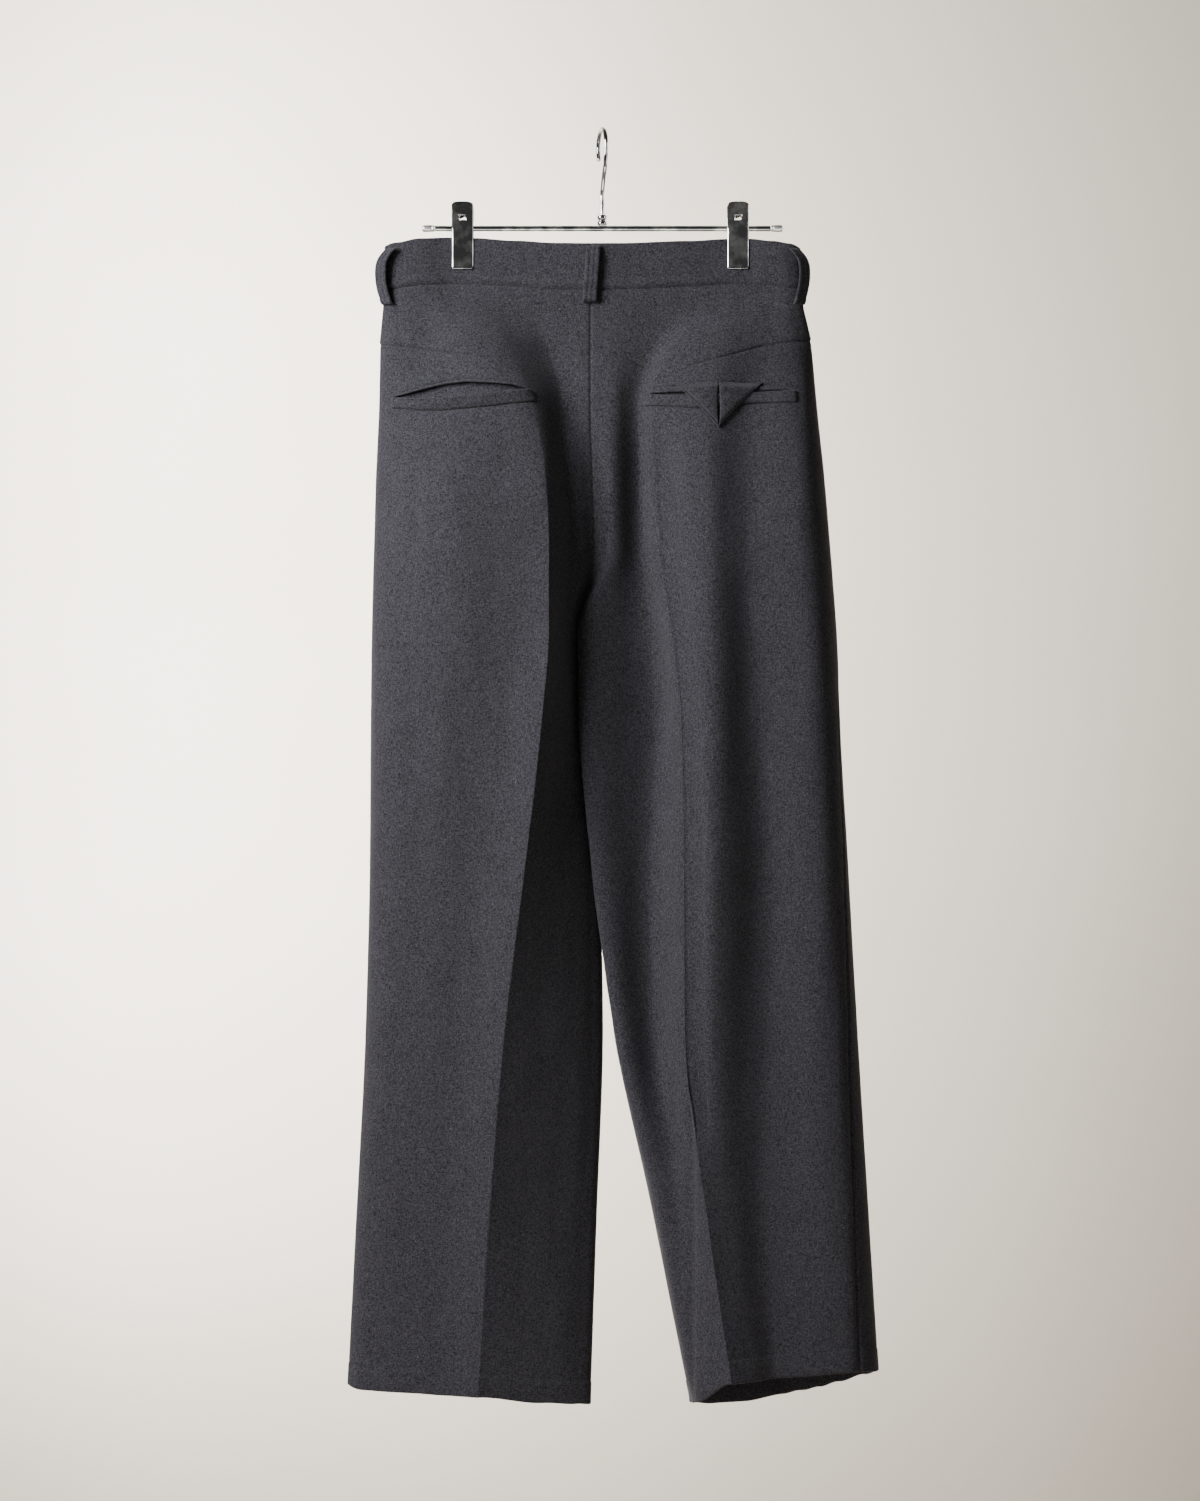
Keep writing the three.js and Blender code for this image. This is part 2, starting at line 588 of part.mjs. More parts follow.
// Leg panels, each from the waist seam to the hem
for (const side of ['left', 'right']) {
  addPiece(`back_${side}_inner`, legPanel(side, 0, BACK_CREASE), WOOL);
  addPiece(`back_${side}_outer`, legPanel(side, BACK_CREASE, SIDE_LINE), WOOL);
  addPiece(`front_${side}_outer`, legPanel(side, SIDE_LINE, FRONT_CREASE), WOOL);
  addPiece(`front_${side}_inner`, legPanel(side, FRONT_CREASE, SIDES[side].lines.length - 1), WOOL);
  addPiece(`waistband_${side}`, waistband(side), WOOL);
  addPiece(`back_pocket_welt_${side}`, pocketWelt(side), WOOL_TRIM);
  addPiece(`side_pocket_edge_${side}`, sidePocketEdge(side), WOOL_TRIM);
  addPiece(`belt_loop_side_${side}`, sideLoop(side), WOOL_TRIM);
}
addPiece('belt_loop_centre_back', faceLoop('back', -10, CENTRE_LOOP_LEAN), WOOL_TRIM);
addPiece('belt_loop_front_left', faceLoop('front', -FRONT_LOOP_X, 0), WOOL_TRIM);
addPiece('belt_loop_front_right', faceLoop('front', FRONT_LOOP_X, 0), WOOL_TRIM);
addPiece('back_pocket_tab_inner', tabHalf(-1), WOOL_TRIM);
addPiece('back_pocket_tab_outer', tabHalf(1), WOOL_TRIM);
addPiece('fly_strip', flyStrip(), WOOL_TRIM);
addPiece('waist_button', waistButton(), HORN);

// A round solid turned about the X axis, from x and radius pairs
function turnedAlongX(profile, sides) {
  const points = profile.map(([along, radius]) => new THREE.Vector2(radius, along));
  const geometry = new THREE.LatheGeometry(points, sides);
  geometry.rotateZ(-Math.PI / 2);
  return geometry;
}

function hangerBar() {
  const { from, to, radius, sides, z } = BAR;
  return turnedAlongX([[from, 0], [from, radius], [to, radius], [to, 0]], sides).translate(0, 0, z);
}

function endCap(end, out) {
  const near = end + out * SEAM_GAP;
  const shoulder = near + out * (CAP.length - 1.4);
  const far = near + out * CAP.length;
  const round = [[near, CAP.radius], [shoulder, CAP.radius], [far, CAP.radius - 1.4]];
  const profile = [[near, 0], ...round, [far, 0]];
  if (out < 0) profile.reverse();
  return turnedAlongX(profile, BAR.sides).translate(0, 0, BAR.z);
}

function ferrule() {
  const bottom = BAR.z + BAR.radius + SEAM_GAP;
  const { radius, top, chamfer } = FERRULE;
  const profile = [
    [0, bottom], [radius - chamfer, bottom], [radius, bottom + chamfer],
    [radius, top - chamfer], [radius - chamfer, top], [0, top],
  ].map(([r, z]) => new THREE.Vector2(r, z));
  return new THREE.LatheGeometry(profile, 20).rotateX(Math.PI / 2).translate(FERRULE.x, 0, 0);
}

// The hook: a straight neck, a bend towards the back, and a half round down to the tip
function hook() {
  const ring = HOOK.insideRadius + HOOK.wire;
  const centreZ = -HOOK.insideRadius;
  const points = [
    new THREE.Vector3(0, 0, FERRULE.top + SEAM_GAP),
    new THREE.Vector3(0, 0, (FERRULE.top + HOOK.neckZ) / 2),
    new THREE.Vector3(0, 0, HOOK.neckZ),
    new THREE.Vector3(0, -5.5, HOOK.neckZ + 12),
    new THREE.Vector3(0, -13.4, HOOK.neckZ + 26),
  ];
  for (let angle = 195; angle >= HOOK.tipAngle; angle -= 23) {
    const turn = THREE.MathUtils.degToRad(angle);
    points.push(new THREE.Vector3(0, Math.cos(turn) * ring, centreZ + Math.sin(turn) * ring));
  }
  const path = new THREE.CatmullRomCurve3(points);
  const section = new THREE.Shape();
  for (let i = 0; i < HOOK.sides; i += 1) {
    const turn = (i / HOOK.sides) * 2 * Math.PI;
    const [x, y] = [Math.cos(turn) * HOOK.wire, Math.sin(turn) * HOOK.wire];
    if (i === 0) section.moveTo(x, y);
    else section.lineTo(x, y);
  }
  section.closePath();
  const geometry = new THREE.ExtrudeGeometry(section, { steps: HOOK.steps, extrudePath: path });
  return geometry.rotateZ(THREE.MathUtils.degToRad(HOOK.turn));
}

// One plate of a clip, pressed from sheet, with a rectangular hole
function clipPlate(centreX, outward) {
  const holeRow = CLIP_PROFILE.findIndex((row) => row.z === CLIP.holeTop);
  const grid = (lift) => CLIP_PROFILE.map(({ z, y, narrow }) => {
    const half = CLIP.width / 2 - narrow;
    return [-half, -CLIP.holeWidth / 2, CLIP.holeWidth / 2, half].map((x) => (
      new THREE.Vector3(centreX + x, outward * (y + lift), z)));
  });
  return wall(grid(CLIP.thickness), grid(0), [[holeRow, 1]]);
}

// The sprung strap that joins a clip's plates round the bar, open at the bottom
function clipSpring(centreX) {
  const gap = THREE.MathUtils.degToRad(SPRING.opening / 2);
  const strap = new THREE.Shape();
  strap.absarc(0, 0, SPRING.outer, -Math.PI / 2 + gap, Math.PI * 1.5 - gap, false);
  strap.absarc(0, 0, SPRING.inner, Math.PI * 1.5 - gap, -Math.PI / 2 + gap, true);
  const bend = { depth: SPRING.width, bevelEnabled: false, curveSegments: 16 };
  const geometry = new THREE.ExtrudeGeometry(strap, bend);
  geometry.rotateX(Math.PI / 2).rotateZ(Math.PI / 2);
  return geometry.translate(centreX - SPRING.width / 2, 0, BAR.z);
}

addPiece('hanger_bar', hangerBar(), CHROME);
addPiece('hanger_cap_left', endCap(BAR.from, -1), CHROME);
addPiece('hanger_cap_right', endCap(BAR.to, 1), CHROME);
addPiece('hanger_ferrule', ferrule(), CHROME);
addPiece('hanger_hook', hook(), CHROME);
for (const [side, x] of Object.entries(CLIPS)) {
  addPiece(`clip_${side}_back_plate`, clipPlate(x, -1), CHROME);
  addPiece(`clip_${side}_front_plate`, clipPlate(x, 1), CHROME);
  addPiece(`clip_${side}_spring`, clipSpring(x), CHROME);
}

export default group;
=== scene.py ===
import math

import bpy
import numpy as np
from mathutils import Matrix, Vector
from mathutils.bvhtree import BVHTree


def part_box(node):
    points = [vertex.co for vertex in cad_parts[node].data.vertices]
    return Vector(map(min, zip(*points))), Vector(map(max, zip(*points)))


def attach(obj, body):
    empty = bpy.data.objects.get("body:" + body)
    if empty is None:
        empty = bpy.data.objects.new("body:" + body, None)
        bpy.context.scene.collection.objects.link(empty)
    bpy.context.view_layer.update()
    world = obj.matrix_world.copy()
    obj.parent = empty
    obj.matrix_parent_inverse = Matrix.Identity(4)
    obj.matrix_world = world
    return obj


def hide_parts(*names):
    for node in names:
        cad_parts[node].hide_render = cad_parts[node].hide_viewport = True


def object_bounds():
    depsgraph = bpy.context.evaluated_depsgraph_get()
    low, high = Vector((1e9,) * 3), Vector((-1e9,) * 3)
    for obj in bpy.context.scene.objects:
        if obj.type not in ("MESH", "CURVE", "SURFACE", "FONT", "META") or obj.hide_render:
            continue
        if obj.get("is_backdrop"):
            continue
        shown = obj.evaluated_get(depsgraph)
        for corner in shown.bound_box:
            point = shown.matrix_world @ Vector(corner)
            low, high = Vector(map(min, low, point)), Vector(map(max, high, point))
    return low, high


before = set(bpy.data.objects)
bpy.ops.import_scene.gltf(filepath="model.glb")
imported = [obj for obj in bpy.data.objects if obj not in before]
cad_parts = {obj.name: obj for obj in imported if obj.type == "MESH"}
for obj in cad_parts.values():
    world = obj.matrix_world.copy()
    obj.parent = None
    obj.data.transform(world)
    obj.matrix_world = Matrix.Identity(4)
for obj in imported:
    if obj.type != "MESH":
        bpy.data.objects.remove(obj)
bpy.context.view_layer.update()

# Camera
# It stands 3.4 m behind the back of the garment and level, at the height of the picture's middle.
# One pixel of the 1200 by 1501 picture is 0.96 mm at the hanger.
PIXEL = 0.00096
PICTURE_ROWS = 1501
eye = Vector((-2 * PIXEL, -3.4, -0.5942))
picture_height = PICTURE_ROWS * PIXEL
camera_data = bpy.data.cameras.new("camera")
camera_data.sensor_width = 36
camera_data.lens = 36 * -eye.y / picture_height
camera_data.clip_start = 0.1
camera_data.clip_end = 60
camera = bpy.data.objects.new("camera", camera_data)
camera.location = eye
camera.rotation_euler = (math.radians(90), 0, 0)
bpy.context.scene.collection.objects.link(camera)
bpy.context.scene.camera = camera

# Backdrop and floor
# One sweep of pale painted board, curved where the wall meets the floor. Its back isn't drawn, so
# that the front of the garment can be looked at from behind it.
WALL_Y = 1.15
FLOOR_Z = -2.1
SWEEP_RADIUS = 0.5
profile = [(-6.5, FLOOR_Z), (WALL_Y - SWEEP_RADIUS, FLOOR_Z)]
for step in range(1, 13):
    turn = math.radians(90 * step / 12)
    across = WALL_Y - SWEEP_RADIUS + SWEEP_RADIUS * math.sin(turn)
    profile.append((across, FLOOR_Z + SWEEP_RADIUS * (1 - math.cos(turn))))
profile.append((WALL_Y, 3.2))
sweep_points = [(x, y, z) for y, z in profile for x in (-6.5, 6.5)]
sweep_faces = [(2 * i, 2 * i + 1, 2 * i + 3, 2 * i + 2) for i in range(len(profile) - 1)]
sweep_mesh = bpy.data.meshes.new("backdrop")
sweep_mesh.from_pydata(sweep_points, [], sweep_faces)
sweep_mesh.shade_smooth()
backdrop = bpy.data.objects.new("backdrop", sweep_mesh)
bpy.context.scene.collection.objects.link(backdrop)
backdrop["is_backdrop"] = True


def start_material(name):
    """A new material, with its nodes, links and main shader."""
    material = bpy.data.materials.new(name)
    material.use_nodes = True
    tree = material.node_tree
    return material, tree.nodes, tree.links, tree.nodes["Principled BSDF"]


def add_node(kind, values, source=None, into="Vector"):
    """A shader node in the tree at hand, with values for some inputs and one input linked."""
    node = nodes.new("ShaderNode" + kind)
    for name, value in values.items():
        node.inputs[name].default_value = value
    if source is not None:
        links.new(source, node.inputs[into])
    return node


def colours_between(source, low_at, low_colour, high_at, high_colour):
    """Colour that runs from one to another as the source rises."""
    ramp = add_node("ValToRGB", {}, source, "Fac")
    first, last = ramp.color_ramp.elements
    first.position = low_at
    first.color = (*low_colour, 1)
    last.position = high_at
    last.color = (*high_colour, 1)
    return ramp.outputs["Color"]


plaster, nodes, links, wall_paint = start_material("pale plaster")
wall_paint.inputs["Roughness"].default_value = 0.9
wall_paint.inputs["Specular IOR Level"].default_value = 0.2
place = nodes.new("ShaderNodeTexCoord").outputs["Object"]
mottle = add_node("TexNoise", {"Scale": 1.7, "Detail": 3}, place).outputs["Fac"]
paint_colour = colours_between(mottle, 0.3, (0.79, 0.72, 0.62), 0.7, (0.84, 0.77, 0.67))
links.new(paint_colour, wall_paint.inputs["Base Color"])
side_seen = nodes.new("ShaderNodeNewGeometry")
see_through = nodes.new("ShaderNodeBsdfTransparent")
one_side = nodes.new("ShaderNodeMixShader")
links.new(side_seen.outputs["Backfacing"], one_side.inputs["Fac"])
links.new(wall_paint.outputs["BSDF"], one_side.inputs[1])
links.new(see_through.outputs["BSDF"], one_side.inputs[2])
links.new(one_side.outputs["Shader"], nodes["Material Output"].inputs["Surface"])
sweep_mesh.materials.append(plaster)

# Light
# A soft lamp stands high to the left, a little towards the camera. A tall one beside the garment
# lights only the backdrop, and two weak ones show as reflections in the chrome. The surroundings
# give a dim grey fill, a little paler behind the camera, where the polished clips reflect it.
for name, watts, width, height, spread, place, aim, tint, on_cloth in (
    ("soft lamp", 89, 0.8, 1.0, 180, (-1.4, -1.1, 0.34), (0, 0, -0.5), (1.0, 0.985, 0.96), True),
    ("backdrop lamp", 33, 0.4, 1.8, 48, (-1.6, -0.2, -0.36), (-0.38, WALL_Y, -0.4),
     (1.0, 0.99, 0.98), True),
    ("reflection right", 24, 1.0, 1.8, 180, (2.2, -0.7, -0.1), (0, 0, -0.1), (1.0, 1.0, 1.0), False),
    ("reflection low", 25, 2.2, 0.5, 180, (0, -1.9, -1.9), (0, 0, -0.1), (1.0, 1.0, 1.0), False),
):
    lamp = bpy.data.lights.new(name, "AREA")
    lamp.shape = "RECTANGLE"
    lamp.size = width
    lamp.size_y = height
    lamp.spread = math.radians(spread)
    lamp.energy = watts
    lamp.color = tint
    lamp_object = bpy.data.objects.new(name, lamp)
    lamp_object.location = place
    lamp_object.visible_diffuse = on_cloth
    lamp_object.rotation_euler = (Vector(aim) - Vector(place)).to_track_quat("-Z", "Y").to_euler()
    bpy.context.scene.collection.objects.link(lamp_object)

surroundings = bpy.data.worlds.new("surroundings")
bpy.context.scene.world = surroundings
surroundings.use_nodes = True
nodes = surroundings.node_tree.nodes
links = surroundings.node_tree.links
towards = nodes.new("ShaderNodeTexCoord")
split = add_node("SeparateXYZ", {}, towards.outputs["Generated"])
behind_camera = add_node(
    "MapRange", {"From Min": -0.99, "From Max": -0.75, "To Min": 0, "To Max": 1},
    split.outputs["Y"], "Value")
fill_grey = colours_between(
    behind_camera.outputs["Result"], 0, (0.11, 0.108, 0.107), 1, (0.095, 0.093, 0.091))
links.new(fill_grey, nodes["Background"].inputs["Color"])
nodes["Background"].inputs["Strength"].default_value = 1.0

# Hanger bar with its end caps, ferrule and hook
# A plated steel rod carries pressed end caps, and a turned ferrule over its middle holds the bent
# wire hook. Every part is chromium plated, and all but the satin caps are polished.
MM = 0.001


def ring_faces(rings, sides):
    """Faces between rings of points in a row, with both ends closed."""
    faces = []
    for r in range(rings - 1):
        for k in range(sides):
            here = r * sides + k
            beside = r * sides + (k + 1) % sides
            faces.append((here, beside, beside + sides, here + sides))
    faces.append(tuple(range(sides)))
    faces.append(tuple(range((rings - 1) * sides, rings * sides)))
    return faces


def turned(profile, axis, centre, sides=40):
    """Points and faces of a solid turned about the X or Z axis from (along, radius) pairs in mm."""
    points = []
    for along, radius in profile:
        for k in range(sides):
            turn = 2 * math.pi * k / sides
            across = math.cos(turn) * radius
            up = math.sin(turn) * radius
            if axis == "X":
                points.append((centre[0] + along, centre[1] + across, centre[2] + up))
            else:
                points.append((centre[0] + across, centre[1] + up, centre[2] + along))
    return np.array(points, float), ring_faces(len(profile), sides)


def add_piece(name, points, faces, material, body="root"):
    """A smooth piece from points in mm, outward faces made sure of, riding on a body."""
    mesh = bpy.data.meshes.new(name)
    mesh.from_pydata((np.asarray(points) * MM).tolist(), [], [tuple(face) for face in faces])
    mesh.validate()
    mesh.calc_loop_triangles()
    corners = np.empty(len(mesh.vertices) * 3, np.float32)
    mesh.vertices.foreach_get("co", corners)
    corners = corners.reshape(-1, 3).astype(float)
    thirds = np.empty(len(mesh.loop_triangles) * 3, np.int32)
    mesh.loop_triangles.foreach_get("vertices", thirds)
    a, b, c = (corners[thirds.reshape(-1, 3)[:, i]] for i in range(3))
    if np.einsum("ij,ij->i", a, np.cross(b, c)).sum() < 0:
        mesh.flip_normals()
    mesh.shade_smooth()
    mesh.materials.append(material)
    piece = bpy.data.objects.new(name, mesh)
    bpy.context.scene.collection.objects.link(piece)
    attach(piece, body)
    return piece


# Fine marks that polishing leaves on plated metal, as relief for both platings
polish_marks = bpy.data.node_groups.new("polish marks", "ShaderNodeTree")
polish_marks.interface.new_socket("Place", in_out="INPUT", socket_type="NodeSocketVector")
polish_marks.interface.new_socket("Scale", in_out="INPUT", socket_type="NodeSocketFloat")
polish_marks.interface.new_socket("Height", in_out="OUTPUT", socket_type="NodeSocketFloat")
nodes = polish_marks.nodes
links = polish_marks.links
given = nodes.new("NodeGroupInput").outputs
scratches = add_node("TexNoise", {}, given["Place"])
links.new(given["Scale"], scratches.inputs["Scale"])
links.new(scratches.outputs["Fac"], nodes.new("NodeGroupOutput").inputs["Height"])


def mark(shader, scale, strength):
    """Polishing marks on the plating whose node tree is at hand."""
    marks_here = nodes.new("ShaderNodeGroup")
    marks_here.node_tree = polish_marks
    marks_here.inputs["Scale"].default_value = scale
    links.new(place, marks_here.inputs["Place"])
    relief = add_node(
        "Bump", {"Strength": strength, "Distance": 0.0002}, marks_here.outputs["Height"], "Height")
    links.new(relief.outputs["Normal"], shader.inputs["Normal"])


chrome, nodes, links, plating = start_material("polished chrome")
plating.inputs["Metallic"].default_value = 1
place = nodes.new("ShaderNodeTexCoord").outputs["Object"]
# Painted reflection: the base colour is mottled from dark to pale grey, so that it stands in for dark
# and light patches of the surroundings reflected in the plating.
reflection_mottle = add_node("TexNoise", {"Scale": 70, "Detail": 3}, place).outputs["Fac"]
painted_reflection_colour = colours_between(reflection_mottle, 0.42, (0.3, 0.3, 0.31), 0.62, (0.82, 0.82, 0.81))
links.new(painted_reflection_colour, plating.inputs["Base Color"])
smudge = add_node("TexNoise", {"Scale": 160, "Detail": 5, "Roughness": 0.65}, place)
smudge_depth = add_node(
    "MapRange", {"From Min": 0.42, "From Max": 0.72, "To Min": 0.07, "To Max": 0.17},
    smudge.outputs["Fac"], "Value")
links.new(smudge_depth.outputs["Result"], plating.inputs["Roughness"])
mark(plating, 900, 0.05)

satin, nodes, links, satin_plating = start_material("satin plated caps")
satin_plating.inputs["Metallic"].default_value = 1
satin_plating.inputs["Base Color"].default_value = (0.86, 0.86, 0.87, 1)
satin_plating.inputs["Roughness"].default_value = 0.38
place = nodes.new("ShaderNodeTexCoord").outputs["Object"]
mark(satin_plating, 900, 0.05)

BAR_Z = -93.2
BAR_FROM = -161
BAR_TO = 161.9
BAR_RADIUS = 2.65
bar_profile = [(BAR_FROM, 2.2)] + [(BAR_FROM + along, BAR_RADIUS) for along in (0.4, 0.8, 2)]
bar_profile += [(BAR_TO - along, BAR_RADIUS) for along in (2, 0.8, 0.4)] + [(BAR_TO, 2.2)]
bar = add_piece("hanger_bar_rod", *turned(bar_profile, "X", (0, 0, BAR_Z)), chrome)
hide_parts("hanger_bar")

# Inner end, rolled bead, barrel and rounded far end of a cap
CAP_PROFILE = [
    (0.3, 2.7), (0.4, 3.2), (0.9, 3.4), (1.7, 3.4), (2.1, 3.05), (2.4, 2.95), (2.8, 3.1), (3.3, 3.35),
    (3.8, 3.4), (9.0, 3.4), (9.4, 3.4), (10.3, 3.25), (11.0, 2.8), (11.4, 2.1), (11.5, 1.2),
]
for side, end, out in (("left", BAR_FROM, -1), ("right", BAR_TO, 1)):
    cap_profile = [(end + out * along, radius) for along, radius in CAP_PROFILE]
    cap = add_piece(f"hanger_cap_{side}_pressed", *turned(cap_profile, "X", (0, 0, BAR_Z)), satin)
    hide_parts(f"hanger_cap_{side}")

FERRULE_BOTTOM = BAR_Z + BAR_RADIUS + 0.3
FERRULE_TOP = -80.2
ferrule_profile = [
    (FERRULE_BOTTOM, 3.4), (FERRULE_BOTTOM + 0.5, 4.2), (FERRULE_BOTTOM + 1.1, 4.5),
    (FERRULE_BOTTOM + 3.2, 4.55), (FERRULE_BOTTOM + 3.8, 4.1), (FERRULE_BOTTOM + 4.3, 3.3),
    (FERRULE_BOTTOM + 4.8, 3.1), (FERRULE_BOTTOM + 5.3, 3.3), (FERRULE_BOTTOM + 5.8, 4.2),
    (FERRULE_BOTTOM + 6.3, 4.55), (FERRULE_TOP - 1.3, 4.6), (FERRULE_TOP - 0.5, 4.2), (FERRULE_TOP, 3.2),
]
ferrule = add_piece("hanger_ferrule_turned", *turned(ferrule_profile, "Z", (0, 0, 0)), chrome)
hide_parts("hanger_ferrule")


def round_wire(path, radius, sides=20):
    """Points and faces of a wire along a smooth path, with rounded ends."""
    path = np.asarray(path, float)
    along = np.gradient(path, axis=0)
    along /= np.linalg.norm(along, axis=1)[:, None]
    across = np.cross(along[0], (1.0, 0.2, 0.1))
    turns = np.arange(sides)[:, None] * 2 * math.pi / sides
    rounds = []
    for heading in along:
        across = across - heading * across.dot(heading)
        across /= np.linalg.norm(across)
        rounds.append(np.cos(turns) * across + np.sin(turns) * np.cross(heading, across))
    stack = [point + radius * ring for point, ring in zip(path, rounds)]
    for share in (0.95, 0.8, 0.5, 0.15):
        bulge = radius * math.sqrt(1 - share * share)
        stack.insert(0, path[0] - along[0] * bulge + radius * share * rounds[0])
        stack.append(path[-1] + along[-1] * bulge + radius * share * rounds[-1])
    return np.concatenate(stack), ring_faces(len(stack), sides)


def through_points(knots, steps):
    """Smooth path through knots, with steps points between two of them."""
    knots = np.asarray(knots, float)
    ends = np.vstack([2 * knots[0] - knots[1], knots, 2 * knots[-1] - knots[-2]])
    path = []
    for i in range(1, len(ends) - 2):
        p0, p1, p2, p3 = ends[i - 1:i + 3]
        for step in range(steps):
            t = step / steps
            path.append(0.5 * (2 * p1 + (p2 - p0) * t + (2 * p0 - 5 * p1 + 4 * p2 - p3) * t * t
                               + (3 * p1 - p0 - 3 * p2 + p3) * t ** 3))
    path.append(knots[-1])
    return np.array(path)


WIRE = 2.0
HOOK_INSIDE = 15.0
HOOK_TURN = math.radians(13)
hook_knots = [(0, FERRULE_TOP + 0.3), (0, -70.1), (0, -60), (-5.5, -48), (-13.4, -34)]
for angle in range(195, -36, -23):
    turn = math.radians(angle)
    reach = HOOK_INSIDE + WIRE
    hook_knots.append((math.cos(turn) * reach, -HOOK_INSIDE + math.sin(turn) * reach))
hook_knots = [(-math.sin(HOOK_TURN) * y, math.cos(HOOK_TURN) * y, z) for y, z in hook_knots]
hook = add_piece("hanger_hook_wire", *round_wire(through_points(hook_knots, 9), WIRE), chrome)
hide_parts("hanger_hook")

# Clips
# Each clip is two plates pressed from sheet steel with turned edges and an arched finger end. A
# strap spring round the bar holds them shut on the waistband. A small tongue is bent into the hole.
CLIP_AT = {"left": -133.7, "right": 130.4}
CLIP_HALF = 10.3
CLIP_SHEET = 1.2
CLIP_TOP = -68.4
CLIP_BOTTOM = -132.6
HOLE_HALF = 3.3
HOLE_TOP = -81
HOLE_BOTTOM = -86
CLIP_SIDE_VIEW = [(-68.4, 9.4), (-74, 8.2), (-81, 6.8), (-86, 5.8), (-93.2, 4.7), (-101, 4.15),
                  (-120, 4.15), (-130.6, 4.25), (-132.6, 5)]


def closed_sheet(outer, inner, open_cells=None):
    """Points and faces of a closed sheet between two grids, with open cells cut through it."""
    rows, columns = outer.shape[:2]
    filled = np.ones((rows - 1, columns - 1), bool)
    if open_cells is not None:
        filled &= ~open_cells
    front = np.arange(rows * columns).reshape(rows, columns)
    back = front + rows * columns
    corners = [(slice(0, -1), slice(0, -1)), (slice(0, -1), slice(1, None)),
               (slice(1, None), slice(1, None)), (slice(1, None), slice(0, -1))]
    faces = [np.stack([front[at] for at in corners], -1)[filled]]
    faces.append(np.stack([back[at] for at in reversed(corners)], -1)[filled])
    around = np.pad(filled, 1)
    neighbours = [around[:-2, 1:-1], around[1:-1, 2:], around[2:, 1:-1], around[1:-1, :-2]]
    for k, neighbour in enumerate(neighbours):
        edge = filled & ~neighbour
        start, stop = corners[k], corners[(k + 1) % 4]
        rim = [front[stop], front[start], back[start], back[stop]]
        faces.append(np.stack(rim, -1)[edge])
    faces = np.concatenate(faces)
    points = np.concatenate([outer.reshape(-1, 3), inner.reshape(-1, 3)])
    used, faces = np.unique(faces, return_inverse=True)
    return points[used], faces.reshape(-1, 4)


def clip_plate(centre_x, outward):
    """Points and faces of one plate, with turned edges and the hole below its finger end."""
    edge = np.array([0, 0.12, 0.3, 0.55, 0.9, 1.3, 1.8, 2.6]) / CLIP_HALF
    middle = np.array([3.3, 3.15, 1.6, 0, -1.6, -3.15, -3.3]) / CLIP_HALF
    across = np.concatenate([-1 + edge, [-0.6, -0.45], middle[::-1], [0.45, 0.6], (1 - edge)[::-1]])
    heights = np.concatenate([
        CLIP_TOP - np.array([0, 0.15, 0.4, 0.8, 1.3, 2.0, 3.0, 4.5, 7.0, 10.0]),
        [HOLE_TOP + 0.15, HOLE_TOP, HOLE_BOTTOM, HOLE_BOTTOM - 0.15], np.arange(-89, -130, -2.5),
        CLIP_BOTTOM + np.array([1.8, 1.3, 0.8, 0.4, 0.15, 0]),
    ])
    u, z = np.meshgrid(across, heights)
    arch = 3.6 * (1 - np.sqrt(np.clip(1 - np.abs(u) ** 3.4, 0, 1)))
    top_zone = np.clip((z - (CLIP_TOP - 7)) / 7, 0, 1)
    foot = 1.1 * (1 - np.sqrt(np.clip(1 - np.abs(u) ** 7, 0, 1)))
    foot_zone = np.clip(((CLIP_BOTTOM + 3) - z) / 3, 0, 1)
    seen_z = z - arch * top_zone + foot * foot_zone
    levels = np.array(CLIP_SIDE_VIEW)[::-1]
    base = np.interp(z, levels[:, 0], levels[:, 1])
    rise = np.minimum((1 - np.abs(u)) * CLIP_HALF, np.minimum(CLIP_TOP - z, z - CLIP_BOTTOM))
    turn_in = 1.5 - np.sqrt(np.clip(1.5 ** 2 - np.clip(1.5 - rise, 0, 1.5) ** 2, 0, None))
    face_y = outward * (base + CLIP_SHEET - turn_in * 0.75)
    outer = np.stack([centre_x + u * CLIP_HALF, face_y, seen_z], -1)
    inner = np.stack([centre_x + u * (CLIP_HALF - 0.25), outward * base, seen_z], -1)
    columns = (across[:-1] + across[1:]) / 2
    rows = (heights[:-1] + heights[1:]) / 2
    in_hole = np.abs(columns)[None, :] < HOLE_HALF / CLIP_HALF
    hole = in_hole & ((rows < HOLE_TOP) & (rows > HOLE_BOTTOM))[:, None]
    return closed_sheet(outer, inner, hole)


def clip_tongue(centre_x, outward):
    """Points and faces of the tongue that is bent into a plate's hole."""
    across = np.linspace(-2.9, 1.2, 8)
    down = np.linspace(0, 1, 9)
    u, t = np.meshgrid(across, down)
    z = HOLE_TOP - 0.1 - 3.2 * t + 0.28 * (u + 2.9) * t
    y = 7.1 - 3.2 * t
    outer = np.stack([centre_x + u, outward * y, z], -1)
    inner = np.stack([centre_x + u, outward * (y - 0.8), z], -1)
    return closed_sheet(outer, inner)


for side, centre_x in CLIP_AT.items():
    for face, outward in (("back", -1), ("front", 1)):
        plate = add_piece(f"clip_{side}_{face}_pressed", *clip_plate(centre_x, outward), chrome)
        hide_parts(f"clip_{side}_{face}_plate")
    tongue = add_piece(f"clip_{side}_tongue", *clip_tongue(centre_x, -1), chrome)
    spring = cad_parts[f"clip_{side}_spring"]
    spring.data.materials.clear()
    spring.data.materials.append(chrome)

